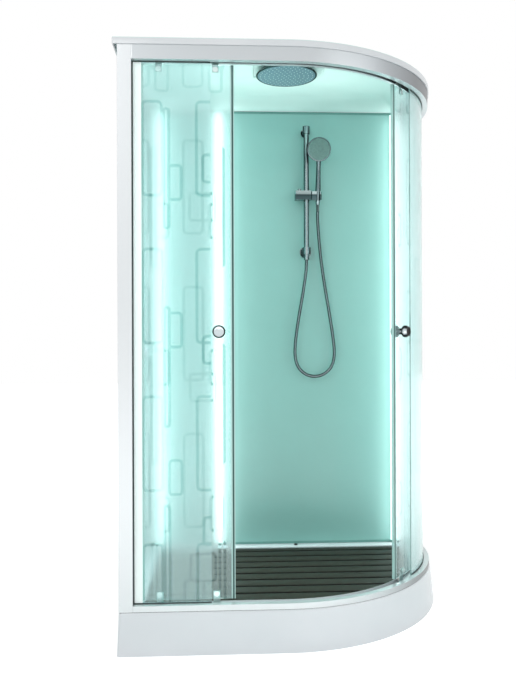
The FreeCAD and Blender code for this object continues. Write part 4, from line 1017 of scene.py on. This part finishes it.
@dataclass
class Roof:
    """Roof moulding: skirt over the top rail, flat edge, raised dome and a round dish for the rain head."""

    inset: float = 0.013
    low: float = 2.126
    edge: float = ROOF_EDGE
    under: float = 2.145
    ceiling: float = 2.190
    wall: float = 0.004
    foot: float = 0.096
    foot_left: float = 0.050
    foot_back: float = 0.035
    slope: float = 0.095
    dish: float = 0.153
    dish_depth: float = 0.006
    hole: float = 0.0108

    def dome(self, share: float, height: float, out: float = 0.0) -> Array:
        """Row of the dome's side at a share of its slope.

        Args:
            share: 0 at the dome's foot, 1 at its top.
            height: Z of the row.
            out: how far the row is moved out.

        Returns:
            The row.
        """
        lean = self.slope * share - out
        left, back = -HALF_WIDTH + self.foot_left + lean, HALF_DEPTH - self.foot_back - lean
        return plan(self.foot + lean, left, back, 0.012, height)

    def build(self, shop: Workshop) -> None:
        """Rows run from the inlet's hole over the outside, round the skirt and back along the ceiling.

        Args:
            shop: makes the piece.
        """
        span = np.linspace(0, 1, 9)
        rise = span - np.sin(2 * np.pi * span) / 12
        middle, wall, inset, edge, dish = (0.0, 0.0), self.wall, self.inset, self.edge, self.dish
        ceiling, sunk = self.ceiling, self.ceiling + self.dish_depth
        top, cap = ceiling + wall, sunk + wall
        outer = self.dome(1.0, top, wall)
        rows = [ring(outer, middle, radius, height) for radius, height in (
            (self.hole, cap), (dish, cap), (dish + wall, cap - 0.002), (dish + wall + 0.002, top))]
        rows += [self.dome(share, edge + (top - edge) * lift, wall)
                 for share, lift in zip(span[::-1], rise[::-1])]
        rows += [plan(inset + more, -HALF_WIDTH + more, HALF_DEPTH - more, 0.004, height)
                 for more, height in ((0.003, edge), (0.0009, edge - 0.0009), (0.0, edge - 0.003),
                                      (0.0, self.low))]
        rows += [plan(inset + wall, -HALF_WIDTH + wall, HALF_DEPTH - 0.001, 0.003, height)
                 for height in (self.low, self.under)]
        rows += [self.dome(share, self.under + (ceiling - self.under) * lift)
                 for share, lift in zip(span, rise)]
        inner = rows[-1]
        rows += [ring(inner, middle, radius, height) for radius, height in (
            (dish + 0.004, ceiling), (dish, ceiling + 0.001), (dish - 0.004, sunk), (self.hole, sunk))]
        shop.piece("roof_moulding", patch(np.stack(rows), along=True), "mint_acrylic", "cabin",
                   ["roof_shell"])


@dataclass
class Duckboard:
    """Dark slats with rounded edges that follow the bowl's outline."""

    inset: float = 0.101
    left: float = -HALF_WIDTH + 0.101
    back: float = HALF_DEPTH - 0.088
    count: int = 10
    pitch: float = 0.075
    gap: float = 0.013
    first: float = 0.129
    top: float = 0.140
    thick: float = 0.020
    edge: float = 0.003

    def right(self, y: Array) -> Array:
        """X of the outline's right side at Y: cx + sqrt(R^2 - (y - cy)^2) on the circle, else straight."""
        down = np.minimum(y - ARC_CENTRE[1], 0)
        return ARC_CENTRE[0] + np.sqrt(np.maximum((CORNER_RADIUS - self.inset) ** 2 - down ** 2, 1e-6))

    def build(self, shop: Workshop) -> None:
        """Each slat carries a rounded section in Y and Z along X, out to the outline at each Y.

        Args:
            shop: makes the piece.
        """
        front = ARC_CENTRE[1] - (CORNER_RADIUS - self.inset)
        share = np.concatenate([[0.0], np.linspace(0.002, 0.998, 24), [1.0]])[:, None]
        bottom, parts = self.top - self.thick, []
        for index in range(self.count):
            high = min(HALF_DEPTH - self.first - (index - 1) * self.pitch - self.gap / 2, self.back)
            low = max(HALF_DEPTH - self.first - index * self.pitch + self.gap / 2, front)
            corners = [(low, bottom), (high, bottom), (high, self.top), (low, self.top)]
            y, z = rounded(corners, self.edge, loop=True).T
            x = self.left + (self.right(y)[None] - self.left) * share
            parts.append(patch(closed(np.stack(np.broadcast_arrays(x, y, z), axis=-1))))
        shop.piece("duckboard_boards", merge(parts), "dark_hardwood", "duckboard", ["duckboard_slats"])


@dataclass
class RainHead:
    """Round rain head: thin chrome body with a raised rim, and a soft face with rings of nozzles."""

    low: float = NOZZLE_PLATE
    radius: float = 0.125
    neck: float = 0.024
    top: float = 2.196
    rings: Tuple[Tuple[int, float], ...] = ((1, 0.0), (6, 0.018), (12, 0.036), (18, 0.054), (24, 0.072),
                                            (30, 0.090), (36, 0.107))

    def build(self, shop: Workshop) -> None:
        """Body and face are lathed from radii and heights above the face; nozzles are cones on rings.

        Args:
            shop: makes the pieces.
        """
        r, z, rise = self.radius, self.low, self.top - self.low
        body = rounded([(r - 0.0075, 0.002), (r - 0.0075, 0.0), (r - 0.002, 0.0), (r, 0.0025), (r, 0.005),
                        (r - 0.016, 0.009), (0.045, 0.013), (0.026, 0.018), (self.neck, rise)], 0.003)
        shop.piece("rain_head_body", patch(closed(turn(body, 96)) + (0, 0, z)), "chrome_plate", "cabin",
                   ["rain_head"])
        face = [(0.0, 0.002), (r - 0.0076, 0.002), (r - 0.0076, 0.0004), (r - 0.0082, 0.0), (0.0, 0.0)]
        tip = turn([(0.0026, 0.001), (0.0022, -0.0005), (0.0015, -0.0016), (0.0, -0.0016)], 10)
        parts = [patch(turn(face, 72) + (0, 0, z))] + [patch(tip + (x, y, z)) for x, y in spots(self.rings)]
        shop.piece("rain_head_nozzles", merge(parts), "teal_silicone", "cabin", ["rain_head_face"])


@dataclass
class Knob:
    """Round door knob on a neck, with a steep chamfer, a dished face and a fine groove round it.

    at is its foot on the glass, way its direction from there, length how far it stands out, and bolt the
    length of its bolt through the glass.
    """

    node: str
    body: str
    at: Point
    way: Point
    length: float
    bolt: float = 0.0
    radius: float = 0.023
    neck: float = 0.009

    def build(self, shop: Workshop) -> None:
        """Lathe the knob from radii and distances from the glass.

        Args:
            shop: makes the piece.
        """
        r, neck, end = self.radius, self.neck, self.length
        profile = [(0.004, -self.bolt), (0.004, 0.0)] if self.bolt else [(0.0, 0.0)]
        profile += [(neck + 0.003, 0.0), (neck + 0.003, 0.002), (neck, 0.004), (neck, 0.010),
                    (r - 0.004, 0.0115), (r, 0.015), (r, end - 0.013), (r - 0.0006, end - 0.0125),
                    (r - 0.0006, end - 0.0115), (r, end - 0.011), (r - 0.0048, end - 0.0005),
                    (r - 0.0056, end), (r - 0.009, end - 0.0006), (0.004, end - 0.0012)]
        grid = frame_to(closed(turn(rounded(profile, 0.0006), 56)), self.at, self.way)
        shop.piece(self.node + "_turned", patch(grid), "chrome_plate", self.body, [self.node],
                   look="knob_chrome")


@dataclass
class Doors:
    """Both doors' turned pieces: knobs and grooved wheels."""

    inset: float = 0.057
    glass: float = 0.005
    left_end: float = 0.420
    left_length: float = 0.325
    right_start: float = math.radians(-47.0)
    right_sweep: float = math.radians(46.4)
    knob_height: float = 1.124
    knob_setback: float = 0.052
    wheel_setback: float = 0.062
    wheel_inset: float = 0.071
    wheel_radius: float = 0.011
    wheel_width: float = 0.008
    pin: float = 0.00306
    levels: Tuple[Tuple[str, float], ...] = (("low", 0.1603), ("high", 2.0933))

    def spot(self, side: str, setback: float, depth: float, height: float) -> Tuple[Point, Point]:
        """Place on a door and the direction into the cabin there.

        Args:
            side: left or right.
            setback: distance back from the leading edge.
            depth: distance in from the tray's outline.
            height: height above the floor.

        Returns:
            The point and the inward direction.
        """
        if side == "left":
            return (-HALF_WIDTH + self.left_end - setback, -HALF_DEPTH + depth, height), (0.0, 1.0, 0.0)
        angle = self.right_start + setback / (CORNER_RADIUS - self.inset)
        radius, east, north = CORNER_RADIUS - depth, math.cos(angle), math.sin(angle)
        return (ARC_CENTRE[0] + radius * east, ARC_CENTRE[1] + radius * north, height), (-east, -north, 0.0)

    def build(self, shop: Workshop) -> None:
        """Make the knobs and wheels of both doors.

        Args:
            shop: makes the pieces.
        """
        lengths = {"left": self.left_length, "right": self.right_sweep * (CORNER_RADIUS - self.inset)}
        for side, length in lengths.items():
            body = side + "_door"
            at, inward = self.spot(side, self.knob_setback, self.inset, self.knob_height)
            Knob(side + "_outer_knob", body, at, tuple(-c for c in inward), 0.035).build(shop)
            at, inward = self.spot(side, self.knob_setback, self.inset + self.glass, self.knob_height)
            Knob(side + "_inner_knob", body, at, inward, 0.030, self.glass).build(shop)
            for end, setback in (("front", self.wheel_setback), ("rear", length - self.wheel_setback)):
                for level, height in self.levels:
                    place = self.spot(side, setback, self.wheel_inset - self.wheel_width / 2, height)
                    self.wheel(shop, "%s_wheel_%s_%s" % (side, end, level), *place)

    def wheel(self, shop: Workshop, name: str, at: Point, inward: Point) -> None:
        """Wheel with a shallow tread groove: a closed lathe section about the pin.

        Args:
            shop: makes the piece.
            name: the wheel's node and body.
            at: middle of its outer face.
            inward: direction of its pin.
        """
        r, w = self.wheel_radius, self.wheel_width
        half = [(self.pin, 0.0), (r - 0.0035, 0.0), (r - 0.003, 0.0008), (r - 0.0012, 0.0008), (r, 0.0018)]
        section = rounded(half + [(radius, w - out) for radius, out in reversed(half)], 0.0006, 3, True)
        grid = frame_to(turn(section, 40), at, inward)
        shop.piece(name + "_turned", patch(grid, along=True), "white_nylon", name, [name])


@dataclass
class Handset:
    """Handset, made about its own axis from the holder's pivot and leaned by the holder's tilt."""

    holder: Point = (0.173, 0.345, SLIDER_MIDDLE)
    lean: float = math.radians(10)
    reach: float = 0.206
    head: float = 0.054
    face: float = -0.016
    handle_foot: float = -0.020
    # Where the handle starts to ease forward, as a share of its length, and how far it comes.
    ease: Flat = (0.62, 0.004)
    rings: Tuple[Tuple[int, float], ...] = ((9, 0.0165), (15, 0.024), (22, 0.0315), (28, 0.039), (34, 0.0450))
    knurls: int = 24
    knurl: float = 0.0003

    def stand(self, grid: Array) -> Array:
        """Carry a grid from the handset's own axis to its leaning place."""
        return frame_to(grid, self.holder, (0.0, -math.sin(self.lean), math.cos(self.lean)))

    def build(self, shop: Workshop) -> None:
        """Handle and head as two closed surfaces in one piece, the face with its nozzles, and the nut.

        Args:
            shop: makes the pieces.
        """
        # Centre line: straight up the handle, then easing forward into the back of the head.
        span = np.linspace(0, 1, 30)
        radius = np.interp(span, (0.0, 0.2, 0.45, 0.8, 1.0), (0.011, 0.0124, 0.0112, 0.0100, 0.0118))
        handle = turn(np.stack([radius, self.handle_foot + span * (self.reach - 0.010)], axis=-1), 40)
        eased = np.clip((span - self.ease[0]) / (1 - self.ease[0]), 0, 1) ** 2
        handle[..., 1] -= self.ease[1] * eased[:, None]
        h, middle, back = self.head, (0, self.face, self.reach), (0, 1, 0)
        shell = rounded([(0.0, 0.0), (h - 0.0055, 0.0), (h - 0.0045, 0.0015), (h - 0.001, 0.0015), (h, 0.004),
                         (h, 0.008), (h - 0.010, 0.0155), (0.027, 0.0205), (0.0, 0.022)], 0.003)
        head = frame_to(turn(shell, 72), middle, back)
        shop.piece("handset_shell", merge([patch(self.stand(closed(handle))), patch(self.stand(head))]),
                   "chromed_plastic", "handset", ["handset_body"])
        face = [(0.0, 0.0015), (h - 0.0062, 0.0015), (h - 0.0062, -0.0018), (h - 0.0072, -0.0023),
                (0.012, -0.0023), (0.011, -0.0010), (0.0, -0.0010)]
        parts = [patch(self.stand(frame_to(turn(face, 64), middle, back)))]
        tip = frame_to(turn([(0.0017, 0.0), (0.0014, -0.0006), (0.0, -0.0007)], 8), (0, 0, 0), back)
        tip += (0, self.face - 0.0022, self.reach)
        parts += [patch(self.stand(tip + (x, 0, z))) for x, z in spots(self.rings)]
        shop.piece("handset_nozzles", merge(parts), "grey_silicone", "handset", ["handset_face"],
                   look="face_silicone")
        # The nut's rows: height, radius, and whether the knurls are cut there.
        nut = np.array([(-0.040, 0.0084, 0), (-0.0392, 0.0092, 0), (-0.036, 0.0094, 1), (-0.026, 0.0100, 1),
                        (-0.0225, 0.0102, 0), (-0.020, 0.0100, 0)])
        u = np.linspace(0, 2 * np.pi, 4 * self.knurls, endpoint=False)
        radii = nut[:, 1:2] - nut[:, 2:] * self.knurl * (1 + np.cos(u * self.knurls))
        grid = np.stack([radii * np.cos(u), radii * np.sin(u), np.repeat(nut[:, :1], len(u), 1)], axis=-1)
        shop.piece("handset_nut", patch(self.stand(closed(grid))), "chrome_plate", "handset",
                   ["handset_hose_nut"])


@dataclass
class Hose:
    """Shower hose from the bend sleeve down round and up to the wall outlet."""

    diameter: float = 0.014
    length: float = 1.401
    route: Tuple[Point, ...] = (
        (0.173, 0.35716, 1.67906), (0.173, 0.36167, 1.65346), (0.176, 0.361, 1.590), (0.186, 0.360, 1.470),
        (0.205, 0.359, 1.335), (0.228, 0.359, 1.200), (0.246, 0.359, 1.080), (0.250, 0.359, 1.008),
        (0.232, 0.359, 0.955), (0.186, 0.359, 0.922), (0.130, 0.359, 0.922), (0.084, 0.359, 0.955),
        (0.066, 0.359, 1.008), (0.068, 0.359, 1.080), (0.084, 0.358, 1.190), (0.102, 0.355, 1.290),
        (0.115, 0.350, 1.375), (0.120, 0.345, 1.429), (0.120, 0.345, 1.455),
    )

    def line(self) -> Array:
        """Points of the route's smooth NURBS line."""
        data = bpy.data.curves.new("hose_line", "CURVE")
        data.dimensions = "3D"
        spline = data.splines.new("NURBS")
        spline.points.add(len(self.route) - 1)
        for point, place in zip(spline.points, self.route):
            point.co = (*place, 1.0)
        spline.order_u = 3
        spline.use_endpoint_u = True
        spline.resolution_u = 14
        item = link("hose_line", data)
        bpy.context.view_layer.update()
        mesh = bpy.data.meshes.new_from_object(item)
        places = np.zeros(len(mesh.vertices) * 3)
        mesh.vertices.foreach_get("co", places)
        bpy.data.objects.remove(item)
        bpy.data.meshes.remove(mesh)
        return places.reshape(-1, 3)

    def tube(self, line: Array, steps: int = 20) -> Array:
        """Circle carried along a line that lies near an XZ plane: point + r (side cos u + other sin u).

        Args:
            line: the line's points.
            steps: columns round the circle.

        Returns:
            Grid of points, a row for each point of the line.
        """
        way = np.gradient(line, axis=0)
        way = way / np.linalg.norm(way, axis=1)[:, None]
        side = np.cross(way, np.array([0.0, 1.0, 0.0]))
        side = side / np.linalg.norm(side, axis=1)[:, None]
        other = np.cross(way, side)
        u = np.linspace(0, 2 * np.pi, steps, endpoint=False)[None, :, None]
        return line[:, None] + self.diameter / 2 * (side[:, None] * np.cos(u) + other[:, None] * np.sin(u))

    def build(self, shop: Workshop) -> None:
        """Tube along the line, which runs from the cabin to the slider up its right-hand arm.

        Args:
            shop: makes the piece.
        """
        line = self.line()
        hose = shop.piece("shower_hose_tube", patch(closed(self.tube(line))), "silver_hose", None,
                          ["shower_hose"], Shade.SMOOTH)
        LOG.info("hose line %.3f m", float(np.linalg.norm(np.diff(line, axis=0), axis=1).sum()))
        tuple(self.route[-1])
        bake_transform(hose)


@dataclass
class Sleeve:
    """Soft bend sleeve with fine ribs between the hose and the nut, on the handset's axis."""

    foot: float = -0.070
    length: float = 0.0297
    nut_foot: float = -0.040
    radius: float = 0.0070
    widening: float = 0.0012
    ribs: int = 8
    rib: float = 0.0004

    def build(self, shop: Workshop) -> None:
        """Cone whose radius swells at each rib: r(h) = cone(h) + rib |sin|.

        Args:
            shop: makes the piece.
        """
        handset = Handset()
        span = np.linspace(0, 1, 49)
        ribs = self.rib * np.abs(np.sin(span * math.pi * self.ribs))
        radius = self.radius + self.widening * span + ribs
        grid = turn(np.stack([radius, self.foot + self.length * span], axis=-1), 28)
        sleeve = shop.piece("bend_sleeve_ribbed", patch(handset.stand(closed(grid))), "grey_silicone", None,
                            ["bend_sleeve"], Shade.SMOOTH)
        low, high = handset.stand(np.array([(0.0, 0.0, self.foot), (0.0, 0.0, self.nut_foot)]))
        tuple(low)
        tuple(high)
        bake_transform(sleeve)


# ---- Cabin ----------------------------------------------------------------------------------------

@dataclass
class Cabin:
    """The whole cabin, with the nodes whose sharp edges get a bevel, by its width."""

    frame: Dict[str, object]
    softened: Tuple[Tuple[float, Tuple[str, ...]], ...] = (
        (0.0008, ("bottom_rail", "top_rail", "left_post", "rear_right_post", "rear_corner_post",
                  "wall_channels")),
        (0.0010, ("rail_slider", "riser_top_fixing", "water_outlet", "clamp_knob", "outlet_hose_nut",
                  "handset_holder", "mixer_body", "temperature_handle", "diverter_handle")),
    )

    def dress(self) -> Dict[str, Material]:
        """Give every carried-over node its material, and return all materials by name."""
        materials = {name: make() for name, make in FINISHES.items()}
        for part in self.frame["record"]["subparts"]:
            worn = self.frame["nodes"][part["node"]].data.materials
            worn.clear()
            worn.append(materials[OWN_LOOK.get(part["node"], part["material_slot"])])
        return materials

    def build(self) -> None:
        """Make the detailed pieces and soften the carried-over ones."""
        shop = Workshop(self.frame, self.dress())
        for part in (Tray(), Roof(), Duckboard(), RainHead(), Doors(), Handset(), Hose(), Sleeve()):
            part.build(shop)
        for width, nodes in self.softened:
            for node in nodes:
                shop.soften(node, width)


def main() -> None:
    """Build the cabin's looks round the frame."""
    logging.basicConfig(level=logging.INFO)
    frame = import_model()
    Cabin(frame).build()
    Studio().build()


if __name__ == "__main__":
    main()
